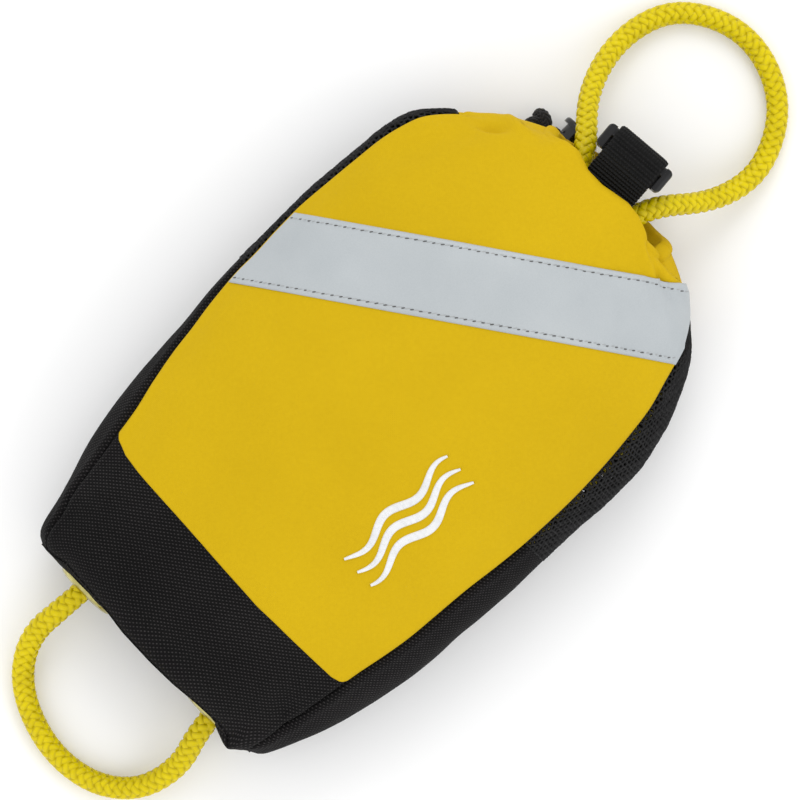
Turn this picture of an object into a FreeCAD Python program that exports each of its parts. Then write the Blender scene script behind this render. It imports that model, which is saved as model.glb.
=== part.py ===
import FreeCAD, Part
import math
import os

os.makedirs("parts", exist_ok=True)

# Throw rope bag lying on its back. Millimetres.
# +X across the bag, +Y toward the mouth, +Z up through the front panel, z = 0 the surface it rests on.
# Lengths along the bag are first given from its bottom edge (b) and then moved by Y0.

# ---- driving dimensions ----
Y0 = 114.0                 # origin sits this far above the bottom edge, the middle of the whole length
cloth = 1.2                # thickness of pack cloth and Cordura with its lining
lower_seam_b = 37.0        # seam between the black lower front panel and the yellow panel
mesh_seam_b = 110.0        # where the Cordura gussets end and the mesh gussets begin
hem_b = 196.0              # where the hem of the mouth begins
mouth_b = 209.5            # edge of the mouth
hem_wall = 6.2             # folded hem with the drawcord tunnel in it
bottom_t = 1.5             # bottom panel

rope_d = 6.35              # 1/4 in braided floating rope
drawcord_d = 3.0           # fuzzy braided drawcord
tunnel_d = 3.5             # tunnel in the hem
webbing_w = 19.0           # 3/4 in webbing
webbing_t = 1.6
tape_w = 25.4              # 1 in reflective tape

grommet_x = 28.0           # grommets left and right of the middle
grommet_z = 19.5
grommet_hole_d = 10.4
grommet_flange_d = 21.5
grommet_flange_t = 1.8

tab_x = -0.6               # middle of the webbing tab
tab_lean = 5.0             # degrees the tab leans to the left
web_bar_b = 223.6          # middle of the buckle's web bar
web_bar_z = 37.0
web_bar_d = 3.6
buckle_gap = 20.6          # between the buckle's two side arms
buckle_w = 26.0            # overall width of the buckle frame

lock_x = -21.0             # middle of the cord lock
lock_z = 6.6
lock_d = 10.6
lock_back_b = 194.4
lock_front_b = 212.0
lock_hole_b = 207.6        # where the drawcord crosses the lock
lock_travel = 3.0          # stroke of the button
lock_bore_d = 8.0

flat_cut = 0.3             # the back is pressed flat against the surface by this much

# Stations: distance from the bottom edge, left and right half widths, underside, top,
# left and right front seams, length of the straight middle of the crown (half), power of the crown.
stations = [
    (1.5, 50.6, 48.6, 1.5, 38.0, 48.2, 45.4, 12.0, 2.3),
    (14.0, 55.0, 54.4, -flat_cut, 45.5, 51.0, 47.2, 9.0, 2.3),
    (lower_seam_b, 61.4, 61.4, -flat_cut, 52.5, 55.0, 51.6, 6.0, 2.3),
    (56.0, 64.2, 65.0, -flat_cut, 56.0, 59.0, 55.2, 4.0, 2.3),
    (82.0, 66.4, 66.9, -flat_cut, 58.0, 63.2, 58.2, 3.0, 2.3),
    (mesh_seam_b, 68.2, 68.9, -flat_cut, 58.0, 66.0, 61.2, 3.0, 2.3),
    (132.0, 68.0, 69.6, -flat_cut, 57.5, 66.2, 62.0, 3.0, 2.3),
    (150.0, 67.4, 70.0, -flat_cut, 56.0, 64.4, 60.9, 4.0, 2.3),
    (166.0, 66.8, 67.0, 2.5, 53.0, 62.6, 58.6, 8.0, 2.2),
    (180.0, 63.2, 60.8, 8.0, 48.5, 59.0, 55.0, 16.0, 2.1),
    (190.0, 54.8, 55.0, 12.5, 45.5, 51.0, 49.6, 24.0, 2.0),
    (hem_b, 48.6, 49.6, 15.0, 44.0, 44.6, 44.4, 30.0, 2.0),
]
# Hem of the mouth: distance, left and right half widths, underside, top.
hem_stations = [
    (hem_b, 48.0, 49.0, 14.5, 44.0),
    (200.0, 43.4, 44.2, 15.2, 43.4),
    (203.4, 40.6, 41.8, 15.6, 43.0),
    (206.5, 35.0, 36.2, 15.8, 42.7),
    (mouth_b, 30.0, 30.5, 16.0, 42.4),
]


def save(name, shape):
    """Write one node and say how big it is."""
    shape.exportStep("parts/" + name + ".step")
    b = shape.BoundBox
    print("%-24s solids %3d  volume %10.1f mm3  x %.1f..%.1f  y %.1f..%.1f  z %.1f..%.1f" % (
        name, len(shape.Solids), shape.Volume, b.XMin, b.XMax, b.YMin, b.YMax, b.ZMin, b.ZMax))


def compound(solids):
    return Part.makeCompound(solids) if len(solids) > 1 else solids[0]


# ---- cross-sections of the bag ----
CROWN = 7      # steps from a front seam to the middle of the crown
SIDE_UP = 3    # steps from the widest line up to a front seam
SIDE_DOWN = 4  # steps round a lower corner


def crown_point(a, c, up, n, phi):
    x = c + (a - c) * abs(math.cos(phi)) ** (2.0 / n)
    return x, up * abs(math.sin(phi)) ** (2.0 / n)


def outline(station):
    """Closed outline of one cross-section, from the right front seam over the crown and round."""
    b, left, right, low, high, seam_l, seam_r, flat, n = station
    mid = (right - left) / 2.0
    a = (right + left) / 2.0
    height = high - low
    zc = low + 0.45 * height
    up = high - zc
    down = zc - low
    corner = min(0.42 * a, 1.1 * down)
    pts = []
    phi_r = math.acos(max(0.0, (seam_r - mid - flat) / (a - flat)) ** (n / 2.0))
    phi_l = math.acos(max(0.0, (seam_l + mid - flat) / (a - flat)) ** (n / 2.0))
    half = math.pi / 2.0
    for i in range(CROWN + 1):
        x, z = crown_point(a, flat, up, n, phi_r + (half - phi_r) * i / CROWN)
        pts.append((mid + x, zc + z))
    for i in range(CROWN + 1):
        x, z = crown_point(a, flat, up, n, half - (half - phi_l) * i / CROWN)
        pts.append((mid - x, zc + z))
    for i in range(1, SIDE_UP + 1):
        x, z = crown_point(a, flat, up, n, phi_l * (1.0 - i / SIDE_UP))
        pts.append((mid - x, zc + z))
    for i in range(1, SIDE_DOWN + 1):
        t = half * i / SIDE_DOWN
        pts.append((mid - (a - corner) - corner * math.cos(t), zc - down * math.sin(t)))
    for i in range(SIDE_DOWN, 0, -1):
        t = half * i / SIDE_DOWN
        pts.append((mid + (a - corner) + corner * math.cos(t), zc - down * math.sin(t)))
    for i in range(SIDE_UP):
        x, z = crown_point(a, flat, up, n, phi_r * i / SIDE_UP)
        pts.append((mid + x, zc + z))
    return pts


def offset(pts, t):
    """Move a closed outline inward by t (outward when t is negative)."""
    out = []
    count = len(pts)
    for i in range(count):
        x0, z0 = pts[i - 1]
        x1, z1 = pts[i]
        x2, z2 = pts[(i + 1) % count]
        n1 = unit(z1 - z0, x0 - x1)
        n2 = unit(z2 - z1, x1 - x2)
        nx = n1[0] + n2[0]
        nz = n1[1] + n2[1]
        k = 2.0 / (nx * nx + nz * nz)
        out.append((x1 - t * nx * k, z1 - t * nz * k))
    return out


def unit(x, z):
    length = math.hypot(x, z)
    return x / length, z / length


def at(b, pts):
    return [FreeCAD.Vector(x, b - Y0, z) for x, z in pts]


def polygon(vectors):
    return Part.makePolygon(vectors + [vectors[0]])


def strip(rows, first, last, t_out, t_in):
    """Solid between two offsets of the cross-sections, from point first to point last."""
    wires = []
    for b, pts in rows:
        outer = offset(pts, t_out)
        inner = offset(pts, t_in)
        count = len(pts)
        index = [i % count for i in range(first, last + 1)]
        ring = [outer[i] for i in index] + [inner[i] for i in reversed(index)]
        wires.append(polygon(at(b, ring)))
    solid = Part.makeLoft(wires, True, True)
    if solid.Volume < 0:
        solid.reverse()
    return solid


def filled(rows, t):
    """Solid of whole cross-sections moved inward by t."""
    wires = [polygon(at(b, offset(pts, t))) for b, pts in rows]
    return Part.makeLoft(wires, True, True)


rows = [(s[0], outline(s)) for s in stations]
i_seam = [s[0] for s in stations].index(lower_seam_b)
i_mesh = [s[0] for s in stations].index(mesh_seam_b)
left_seam = 2 * CROWN + 1
left_wide = left_seam + SIDE_UP
left_back = left_wide + 2
right_back = left_wide + 2 * SIDE_DOWN - 1
count = len(rows[0][1])

# ---- sewn shell ----
front_panel = strip(rows[i_seam:], 0, left_seam, 0.0, cloth)
save("front_panel", front_panel)
front_lower_panel = strip(rows[:i_seam + 1], 0, left_seam, 0.0, cloth)
save("front_lower_panel", front_lower_panel)
back_panel = strip(rows, left_back, right_back, 0.0, cloth)
save("back_panel", back_panel.cut(Part.makeBox(200, 400, 5, FreeCAD.Vector(-100, -200, -5))))
save("gusset_lower_left", strip(rows[:i_mesh + 1], left_seam, left_back, 0.0, cloth))
save("gusset_mesh_left", strip(rows[i_mesh:], left_seam, left_back, 0.0, cloth))
save("gusset_lower_right", strip(rows[:i_mesh + 1], right_back, count, 0.0, cloth))
save("gusset_mesh_right", strip(rows[i_mesh:], right_back, count, 0.0, cloth))

# Bottom panel closes the end of the sewn tube and is pierced for the two grommets.
end = Part.Face(polygon(at(0.0, rows[0][1])))
bottom = end.extrude(FreeCAD.Vector(0, bottom_t, 0))
for sx in (-1, 1):
    hole = Part.makeCylinder(
        grommet_hole_d / 2 + 0.9, 10, FreeCAD.Vector(sx * grommet_x, -5 - Y0, grommet_z), FreeCAD.Vector(0, 1, 0))
    bottom = bottom.cut(hole)
save("bottom_panel", bottom)

# ---- hem of the mouth with its drawcord tunnel ----
HEM_ARC = 8


def hem_outline(station, inset):
    """Rounded slot: straight front and back, half-round ends."""
    b, left, right, low, high = station
    low = low + inset
    high = high - inset
    r = (high - low) / 2.0
    zc = low + r
    pts = []
    for i in range(HEM_ARC + 1):
        t = -math.pi / 2 + math.pi * i / HEM_ARC
        pts.append((right - inset - r + r * math.cos(t), zc + r * math.sin(t)))
    for i in range(HEM_ARC + 1):
        t = math.pi / 2 + math.pi * i / HEM_ARC
        pts.append((-left + inset + r + r * math.cos(t), zc + r * math.sin(t)))
    return pts


outer = Part.makeLoft([polygon(at(s[0], hem_outline(s, 0.0))) for s in hem_stations], True, True)
inner_stations = [(hem_stations[0][0] - 1,) + hem_stations[0][1:]] + hem_stations
inner_stations = inner_stations + [(mouth_b + 1,) + hem_stations[-1][1:]]
inner = Part.makeLoft([polygon(at(s[0], hem_outline(s, hem_wall))) for s in inner_stations], True, True)
hem = outer.cut(inner)


# ---- cords: straight runs joined by tangent arcs ----
def route(points, share=0.45):
    """Wire through the points' corners, and the smallest arc radius."""
    edges = []
    start = points[0]
    smallest = 1e9
    for i in range(1, len(points) - 1):
        before = points[i].sub(points[i - 1])
        after = points[i + 1].sub(points[i])
        run = min(before.Length, after.Length)
        turn = before.getAngle(after)
        radius = share * run / math.tan(turn / 2.0)
        smallest = min(smallest, radius)
        reach = radius * math.tan(turn / 2.0)
        d1 = FreeCAD.Vector(before).normalize()
        d2 = FreeCAD.Vector(after).normalize()
        p1 = points[i].sub(FreeCAD.Vector(d1).multiply(reach))
        p2 = points[i].add(FreeCAD.Vector(d2).multiply(reach))
        towards = FreeCAD.Vector(d2).sub(d1).normalize()
        centre = points[i].add(FreeCAD.Vector(towards).multiply(radius / math.cos(turn / 2.0)))
        middle = centre.sub(FreeCAD.Vector(towards).multiply(radius))
        edges.append(Part.LineSegment(start, p1).toShape())
        edges.append(Part.Arc(p1, middle, p2).toShape())
        start = p2
    edges.append(Part.LineSegment(start, points[-1]).toShape())
    return Part.Wire(edges), smallest


def tube(name, points, diameter):
    wire, smallest = route(points)
    direction = points[1].sub(points[0])
    circle = Part.Wire(Part.makeCircle(diameter / 2.0, points[0], direction))
    solid = wire.makePipeShell([circle], True, False)
    if solid.Volume < 0:
        solid.reverse()
    want = math.pi * diameter ** 2 / 4 * wire.Length
    print("%-24s length %.1f mm, smallest bend %.1f mm, volume over section x length %.4f" % (
        name, wire.Length, smallest, solid.Volume / want))
    return solid


def p(x, b, z):
    return FreeCAD.Vector(x, b - Y0, z)


# Drawcord: one end is sewn down in the hem, it goes once round the mouth, leaves through the
# back of the hem and passes the cord lock to a knot.
ring_b = 201.2
ring_low = 18.6
ring_high = 38.8
ring_left = -38.3
ring_right = 39.2
knot_r = 4.4
cord_end_x = -27.4
drawcord_points = [
    p(-16.0, ring_b, ring_low),
    p(ring_left, ring_b, ring_low),
    p(ring_left, ring_b, ring_high),
    p(0.5, ring_b + 0.6, ring_high),
    p(ring_right, ring_b, ring_high),
    p(ring_right, ring_b, ring_low),
    p(12.0, ring_b, ring_low),
    p(3.0, ring_b + 3.8, 10.8),
    p(-6.0, lock_hole_b, lock_z),
    p(cord_end_x, lock_hole_b, lock_z),
]
drawcord = tube("drawcord", drawcord_points, drawcord_d)
tunnel = tube("tunnel", drawcord_points, tunnel_d)
save("drawcord", drawcord)
hem = hem.cut(tunnel)
save("mouth_hem", hem)
knot_profile = [(0.0, 0.0), (2.3, 0.0), (3.9, 1.5), (knot_r, 3.7), (3.7, 6.0), (2.0, 7.6), (0.0, 8.0)]
knot_face = Part.Face(polygon([p(cord_end_x - t, lock_hole_b + 0.6 + r, lock_z) for r, t in knot_profile]))
knot = knot_face.revolve(p(cord_end_x, lock_hole_b + 0.6, lock_z), FreeCAD.Vector(1, 0, 0), 360)
save("drawcord_knot", knot)

# Throw loop: both legs leave the mouth behind the tab and the bight lies on the surface.
throw_points = [
    p(-8.5, 188.2, 28.0),
    p(-9.0, 198.5, 27.6),
    p(-13.5, 212.0, 27.4),
    p(-28.0, 227.0, 13.5),
    p(-32.5, 247.5, 5.0),
    p(-25.0, 266.5, 3.5),
    p(-4.0, 277.5, 3.4),
    p(18.5, 270.5, 3.5),
    p(30.5, 250.5, 4.6),
    p(28.0, 230.5, 11.5),
    p(13.2, 213.0, 27.2),
    p(9.4, 198.5, 27.6),
    p(9.0, 188.2, 28.0),
]
save("rope_throw_loop", tube("rope_throw_loop", throw_points, rope_d))

# Handle loop: out of one grommet of the bottom, round and into the other.
handle_points = [
    p(-28.0, 9.0, 19.5),
    p(-29.4, -8.5, 17.8),
    p(-30.2, -24.0, 9.8),
    p(-20.5, -38.0, 4.6),
    p(-2.0, -46.0, 3.4),
    p(16.5, -44.5, 3.5),
    p(29.5, -35.0, 5.0),
    p(33.4, -19.5, 11.0),
    p(29.2, -6.5, 18.2),
    p(28.0, 9.0, 19.5),
]
save("rope_handle_loop", tube("rope_handle_loop", handle_points, rope_d))


def knot_ball(x):
    """Rounded stopper knot with a flat where the rope comes out of it."""
    ball = Part.makeSphere(8.6)
    shape = ball.common(Part.makeBox(20, 20, 20, FreeCAD.Vector(-10, -7.2, -10)))
    shape.translate(FreeCAD.Vector(x, 9.3 + 7.2 - Y0, 19.5))
    return shape


save("rope_handle_knots", compound([knot_ball(-28.0), knot_ball(28.0)]))

# ---- inside: foam float on the back panel and the stuffed rope ----
bundle_end = 188.0
foam = Part.makeBox(72.0, 108.0, 6.0, p(-36.0, 38.0, cloth + 0.3))
save("foam_float", foam)
bundle_rows = [(27.0, None)] + [r for r in rows if 30.0 < r[0] < 185.0] + [(bundle_end, None)]


def section_at(b):
    """Outline between two stations."""
    for (b0, p0), (b1, p1) in zip(rows, rows[1:]):
        if b0 <= b <= b1:
            k = (b - b0) / (b1 - b0)
            return [(u[0] + (w[0] - u[0]) * k, u[1] + (w[1] - u[1]) * k) for u, w in zip(p0, p1)]
    return rows[-1][1]


bundle_rows = [(b, pts if pts else section_at(b)) for b, pts in bundle_rows]
bundle = filled(bundle_rows, cloth + 0.5)
foam_top = foam.BoundBox.ZMax
bundle = bundle.cut(Part.makeBox(72.6, 108.6, foam_top + 0.3, p(-36.3, 37.7, 0.0)))
save("rope_stuffed", bundle)

# ---- laid on the front: reflective tape, its stitching and the embroidered emblem ----
front_rows = rows


def skin(inner, outer):
    """Layer over the front panels and over the front of the hem."""
    panel = strip(front_rows[i_seam:], 0, left_seam, -outer, -inner)
    big = Part.makeLoft([polygon(at(s[0], hem_outline(s, -outer))) for s in hem_stations], True, True)
    small = Part.makeLoft([polygon(at(s[0], hem_outline(s, -inner))) for s in hem_stations], True, True)
    collar = big.cut(small)
    collar = collar.common(Part.makeBox(88.0, 14.0, 30.0, p(-44.0, hem_b, 30.0)))
    return panel, collar


def prism(corners):
    face = Part.Face(polygon([p(x, b, 20.0) for x, b in corners]))
    return face.extrude(FreeCAD.Vector(0, 0, 60.0))


tape_start = (-64.9, 102.0)
tape_dir = (0.823, 0.568)
tape_nor = (-0.568, 0.823)


def band(low, high, first=-12.0, last=150.0):
    """Corners of a strip along the tape, low and high measured from the tape's lower edge."""
    out = []
    for along, across in ((first, low), (last, low), (last, high), (first, high)):
        out.append((tape_start[0] + tape_dir[0] * along + tape_nor[0] * across,
                    tape_start[1] + tape_dir[1] * along + tape_nor[1] * across))
    return out


def laid(parts, tool):
    pieces = []
    for part in parts:
        cut = part.common(tool)
        pieces.extend(s for s in cut.Solids if s.Volume > 0.2)
    return pieces


skin_tape = skin(0.0, 0.6)
tape_pieces = laid(skin_tape, prism(band(0.0, tape_w)))
tape = tape_pieces[0].fuse(tape_pieces[1:]) if len(tape_pieces) > 1 else tape_pieces[0]
save("reflective_tape", tape)
skin_thread = skin(0.6, 1.0)
threads = laid(skin_thread, prism(band(1.4, 2.0))) + laid(skin_thread, prism(band(tape_w - 2.0, tape_w - 1.4)))
save("tape_stitching", compound(threads))

emblem_x = 29.0
emblem_b = 89.0
waves = []
panel_layer = strip(front_rows[i_seam:], 0, left_seam, -0.8, 0.0)
for k in (-1, 0, 1):
    upper = []
    lower = []
    for i in range(13):
        b = emblem_b - 23.0 + 46.0 * i / 12
        x = emblem_x + 5.0 * k + 1.8 * math.sin(4 * math.pi * i / 12 + 0.5 * k)
        w = 1.3 * math.sin(math.pi * (i + 0.8) / 13.6) + 0.25
        upper.append((x + w, b))
        lower.append((x - w, b))
    waves.extend(laid([panel_layer], prism(upper + lower[::-1])))
save("emblem", compound(waves))

hem_big = Part.makeLoft([polygon(at(s[0], hem_outline(s, -0.5))) for s in hem_stations], True, True)
hem_thread = hem_big.cut(outer).common(Part.makeBox(120, 0.7, 60, p(-60, 198.4, 0)))
hem_thread = hem_thread.cut(tape)
save("hem_stitching", compound([s for s in hem_thread.Solids if s.Volume > 0.05]))


# ---- grommets ----
def turned(profile, x):
    """Turn a profile of (radius, distance along the bag) about the grommet's axis."""
    face = Part.Face(polygon([p(x + r, b, grommet_z) for r, b in profile]))
    return face.revolve(p(x, 0.0, grommet_z), FreeCAD.Vector(0, 1, 0), 360)


hole_r = grommet_hole_d / 2
flange_r = grommet_flange_d / 2
eyelet = [
    (hole_r, -1.2), (hole_r + 0.4, -1.6), (hole_r + 1.1, -grommet_flange_t), (flange_r - 2.0, -1.6),
    (flange_r - 0.6, -1.1), (flange_r, -0.4),
    (flange_r, 0.0), (hole_r + 0.8, 0.0), (hole_r + 0.8, 2.5), (hole_r + 2.2, 2.5), (hole_r + 2.0, 3.2),
    (hole_r + 0.4, 3.3), (hole_r, 2.9),
]
washer = [(hole_r + 0.85, bottom_t), (flange_r - 0.4, bottom_t), (flange_r - 0.9, bottom_t + 1.0),
          (hole_r + 0.85, bottom_t + 1.0)]
save("grommets", compound([turned(eyelet, -grommet_x), turned(eyelet, grommet_x)]))
save("grommet_washers", compound([turned(washer, -grommet_x), turned(washer, grommet_x)]))

# ---- cord lock: body, sprung button and spring ----
along = FreeCAD.Vector(0, 1, 0)
across = FreeCAD.Vector(1, 0, 0)


def rod(d, b_from, b_to):
    return Part.makeCylinder(d / 2.0, b_to - b_from, p(lock_x, b_from, lock_z), along)


body = rod(lock_d, lock_back_b, lock_front_b)
body = body.makeFillet(1.2, [e for e in body.Edges if abs(e.CenterOfMass.y - (lock_back_b - Y0)) < 0.01])
body = body.cut(rod(lock_bore_d, lock_back_b + 1.5, lock_front_b + 1))
cross = Part.makeCylinder(2.05, 20, p(lock_x - 10, lock_hole_b, lock_z), across)
body = body.cut(cross)
rim = rod(lock_d + 0.8, lock_front_b - 1.6, lock_front_b).cut(rod(lock_bore_d, lock_front_b - 3, lock_front_b + 1))
body = body.fuse(rim).removeSplitter()
save("cord_lock_body", body)

button_d = lock_bore_d - 0.5
button_back_b = lock_hole_b - 3.2
button = rod(button_d, button_back_b, lock_front_b + lock_travel + 0.3)
head = rod(lock_d, lock_front_b + lock_travel + 0.3, lock_front_b + lock_travel + 2.3)
head = head.makeFillet(1.0, [e for e in head.Edges if e.CenterOfMass.y > lock_front_b + lock_travel + 2.2 - Y0])
button = button.fuse(head)
slot_low = lock_hole_b - 1.7
slot_high = lock_hole_b + 1.7 + lock_travel
slot = Part.makeBox(20, slot_high - slot_low, 3.8, p(lock_x - 10, slot_low, lock_z - 1.9))
button = button.cut(slot).removeSplitter()
save("cord_lock_button", button)

spring_low = lock_back_b + 1.5
spring_high = button_back_b - lock_travel - 0.3
wire_d = 0.6
turns = 4.0
pitch = (spring_high - spring_low - wire_d) / turns
coil_r = 2.6
steps = 18
rings = []
for i in range(int(turns * steps) + 1):
    t = 2 * math.pi * i / steps
    out = FreeCAD.Vector(math.cos(t), 0, math.sin(t))
    centre = p(lock_x, spring_low + wire_d / 2 + pitch * i / steps, lock_z)
    ring = []
    for k in range(6):
        a = math.pi * k / 3
        swing = FreeCAD.Vector(out).multiply(coil_r + wire_d / 2 * math.cos(a))
        ring.append(centre.add(swing).add(FreeCAD.Vector(0, wire_d / 2 * math.sin(a), 0)))
    rings.append(polygon(ring))
spring = Part.makeLoft(rings, True, True)
if spring.Volume < 0:
    spring.reverse()
save("cord_lock_spring", spring)

# ---- webbing tab ----
root = p(tab_x, 209.0, 0.0)
up_z = FreeCAD.Vector(0, 0, 1)
inside_z = hem_stations[-1][4] - hem_wall     # inner face of the front of the hem at the mouth


def lean(shape):
    shape.rotate(root, up_z, tab_lean)
    return shape


def fold_arc(r):
    pts = []
    for i in range(13):
        t = -math.pi / 2 + math.pi * i / 12
        pts.append((web_bar_b + r * math.cos(t), web_bar_z + r * math.sin(t)))
    return pts


def slab(profile, x_from, x_to):
    face = Part.Face(polygon([p(x_from, b, z) for b, z in profile]))
    return face.extrude(FreeCAD.Vector(x_to - x_from, 0, 0))


fold_r = web_bar_d / 2 + 0.35
outside = [(197.0, inside_z), (197.0, inside_z - 2 * webbing_t), (208.0, inside_z - 2 * webbing_t)]
outside = outside + fold_arc(fold_r + webbing_t) + [(216.7, web_bar_z + fold_r + webbing_t), (210.6, inside_z)]
within = [(210.5, inside_z - webbing_t)] + fold_arc(fold_r) + [(217.3, web_bar_z + fold_r)]
tab_left = tab_x - webbing_w / 2
tab_right = tab_x + webbing_w / 2
tab = slab(outside, tab_left, tab_right).cut(slab(within, tab_left - 1, tab_right + 1))
save("webbing_tab", lean(tab))
bars = []
for b in (199.2, 205.6):
    bars.append(Part.makeBox(15.0, 1.2, 0.5, p(tab_x - 7.5, b, inside_z - 2 * webbing_t - 0.5)))
save("tab_bartacks", lean(compound(bars)))

# ---- buckle half hanging in the fold of the tab, drawn about its web bar ----
half_w = buckle_w / 2
half_gap = buckle_gap / 2
back_y = -6.4
front_y = 2.0
cross_top = -5.2
cross_low = -9.2


def block(x0, x1, y0, y1, z0, z1):
    return Part.makeBox(x1 - x0, y1 - y0, z1 - z0, p(tab_x + x0, web_bar_b + y0, web_bar_z + z0))


frame = block(-half_w, half_w, back_y, front_y, cross_low, 2.3)
frame = frame.makeFillet(1.7, [e for e in frame.Edges if e.BoundBox.XLength < 0.01])
frame = frame.cut(block(-half_gap, half_gap, back_y - 1, front_y + 1, cross_top, 3.0))
bar = Part.makeCylinder(web_bar_d / 2, buckle_gap + 2, p(tab_x - half_gap - 1, web_bar_b, web_bar_z), across)
frame = frame.fuse(bar)
tongue = block(-1.9, 1.9, -4.7, -0.9, -23.5, cross_low + 0.5)
tongue = tongue.makeFillet(0.8, [e for e in tongue.Edges if e.CenterOfMass.z < web_bar_z - 23.4])
frame = frame.fuse(tongue)
pivot_x = 8.6
pivot_z = -9.6
prong_y0 = -5.1
prong_y1 = -0.5
for sx in (-1, 1):
    seat = Part.makeCylinder(1.55, 12, p(tab_x + sx * pivot_x, web_bar_b - 9, web_bar_z + pivot_z), along)
    frame = frame.cut(seat)
save("buckle_frame", lean(frame.removeSplitter()))

prong_profile = [
    (7.4, -10.2), (9.8, -10.2), (11.4, -13.4), (12.0, -16.4), (11.5, -19.4), (10.4, -19.9), (10.0, -21.4),
    (7.6, -25.6), (5.4, -25.8), (5.0, -23.6), (7.6, -19.4), (8.8, -16.2), (8.4, -13.0),
]


def prong(sx):
    pts = [p(tab_x + sx * x, web_bar_b + prong_y0, web_bar_z + z) for x, z in prong_profile]
    arm = Part.Face(polygon(pts)).extrude(FreeCAD.Vector(0, prong_y1 - prong_y0, 0))
    knuckle = Part.makeCylinder(
        1.3, prong_y1 - prong_y0, p(tab_x + sx * pivot_x, web_bar_b + prong_y0, web_bar_z + pivot_z), along)
    return arm.fuse(knuckle).removeSplitter()


save("buckle_prong_left", lean(prong(-1)))
save("buckle_prong_right", lean(prong(1)))
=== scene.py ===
import math
import random

import bmesh
import bpy
import numpy as np
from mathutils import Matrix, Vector
from mathutils.bvhtree import BVHTree


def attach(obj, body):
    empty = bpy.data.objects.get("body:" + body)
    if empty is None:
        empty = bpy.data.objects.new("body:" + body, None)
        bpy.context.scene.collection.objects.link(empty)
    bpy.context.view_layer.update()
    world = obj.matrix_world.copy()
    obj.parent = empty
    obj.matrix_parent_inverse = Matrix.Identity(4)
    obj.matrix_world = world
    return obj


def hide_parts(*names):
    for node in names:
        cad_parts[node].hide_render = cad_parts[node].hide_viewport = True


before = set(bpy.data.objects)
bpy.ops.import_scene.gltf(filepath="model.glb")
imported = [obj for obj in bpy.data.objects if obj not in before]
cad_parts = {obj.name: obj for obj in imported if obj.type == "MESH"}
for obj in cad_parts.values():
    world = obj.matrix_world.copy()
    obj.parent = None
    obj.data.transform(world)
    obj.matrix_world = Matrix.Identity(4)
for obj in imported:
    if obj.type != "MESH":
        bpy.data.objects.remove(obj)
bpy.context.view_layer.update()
random.seed(7)
rng = np.random.default_rng(7)

# Lengths below are millimetres; b runs along the bag from its bottom edge to its mouth.
MM = 0.001
Y0 = 114.0            # b at the origin of the row frame
MOUTH_B = 209.5       # b at the mouth


def row(points):
    """(x, b, z) in millimetres to metres in the row frame."""
    p = np.asarray(points, float)
    return np.stack([p[..., 0] * MM, (p[..., 1] - Y0) * MM, p[..., 2] * MM], -1)


# ---------------------------------------------------------------- camera
scene = bpy.context.scene
cam_data = bpy.data.cameras.new("camera")
CAM_HEIGHT, VIEW_WIDTH = 2.40, 0.2556     # metres, over the plane that the picture frames
cam_data.sensor_width = 36.0
cam_data.lens = 36.0 * CAM_HEIGHT / VIEW_WIDTH
cam = bpy.data.objects.new("camera", cam_data)
scene.collection.objects.link(cam)
cam.location = (0.0, 0.0, CAM_HEIGHT + 0.030)
cam.rotation_euler = (0.0, 0.0, math.radians(45.0))
scene.camera = cam


# ---------------------------------------------------------------- meshes
def make_mesh(name, verts, faces, material=None, uv=None, smooth=True):
    """Mesh object from row-frame vertices in metres; uv is per vertex."""
    me = bpy.data.meshes.new(name)
    me.from_pydata([tuple(v) for v in np.asarray(verts).reshape(-1, 3)], [], [tuple(f) for f in faces])
    me.update()
    if uv is not None:
        uv = np.asarray(uv, float).reshape(-1, 2)
        layer = me.uv_layers.new(name="UVMap")
        index = np.empty(len(me.loops), int)
        me.loops.foreach_get("vertex_index", index)
        layer.data.foreach_set("uv", uv[index].ravel())
    if smooth:
        me.polygons.foreach_set("use_smooth", [True] * len(me.polygons))
    o = bpy.data.objects.new(name, me)
    scene.collection.objects.link(o)
    if material:
        me.materials.append(material)
    return o


def unit(v):
    """The vectors along the last axis, scaled to length 1."""
    return v / np.linalg.norm(v, axis=-1)[..., None]


def on_bag(o, slot, *nodes):
    """A piece that rides on the bag, in place of the CAD nodes named."""
    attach(o, "bag")
    if nodes:
        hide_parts(*nodes)


def sewn(name, points, faces, material, uv, slot, *nodes):
    """A piece of the bag from (x, b, z) points, its faces turned outward."""
    o = make_mesh(name, row(points), faces, material, uv)
    bm = bmesh.new()
    bm.from_mesh(o.data)
    bmesh.ops.recalc_face_normals(bm, faces=bm.faces)
    bm.to_mesh(o.data)
    bm.free()
    on_bag(o, slot, *nodes)
    return o


def grid_faces(rows, cols, closed=False, start=0, flip=False):
    """Quads of a rows x cols grid of vertices."""
    r = np.arange(rows - 1)[:, None]
    c = np.arange(cols if closed else cols - 1)[None, :]
    a = start + r * cols + c
    b = start + r * cols + (c + 1) % cols
    f = np.stack([a, b, b + cols, a + cols], -1).reshape(-1, 4)
    return f[:, ::-1] if flip else f


def tube_faces(rows, cols, start=0):
    """Quads round a tube and a face over each of its ends."""
    end = start + (rows - 1) * cols
    faces = [tuple(f) for f in grid_faces(rows, cols, closed=True, start=start)]
    return faces + [tuple(range(start, start + cols))[::-1], tuple(range(end, end + cols))]


def smoothstep(x, lo, hi):
    """0 up to lo, 1 from hi on and smooth between them."""
    t = np.clip((np.asarray(x, float) - lo) / (hi - lo), 0.0, 1.0)
    return t * t * (3 - 2 * t)


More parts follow.
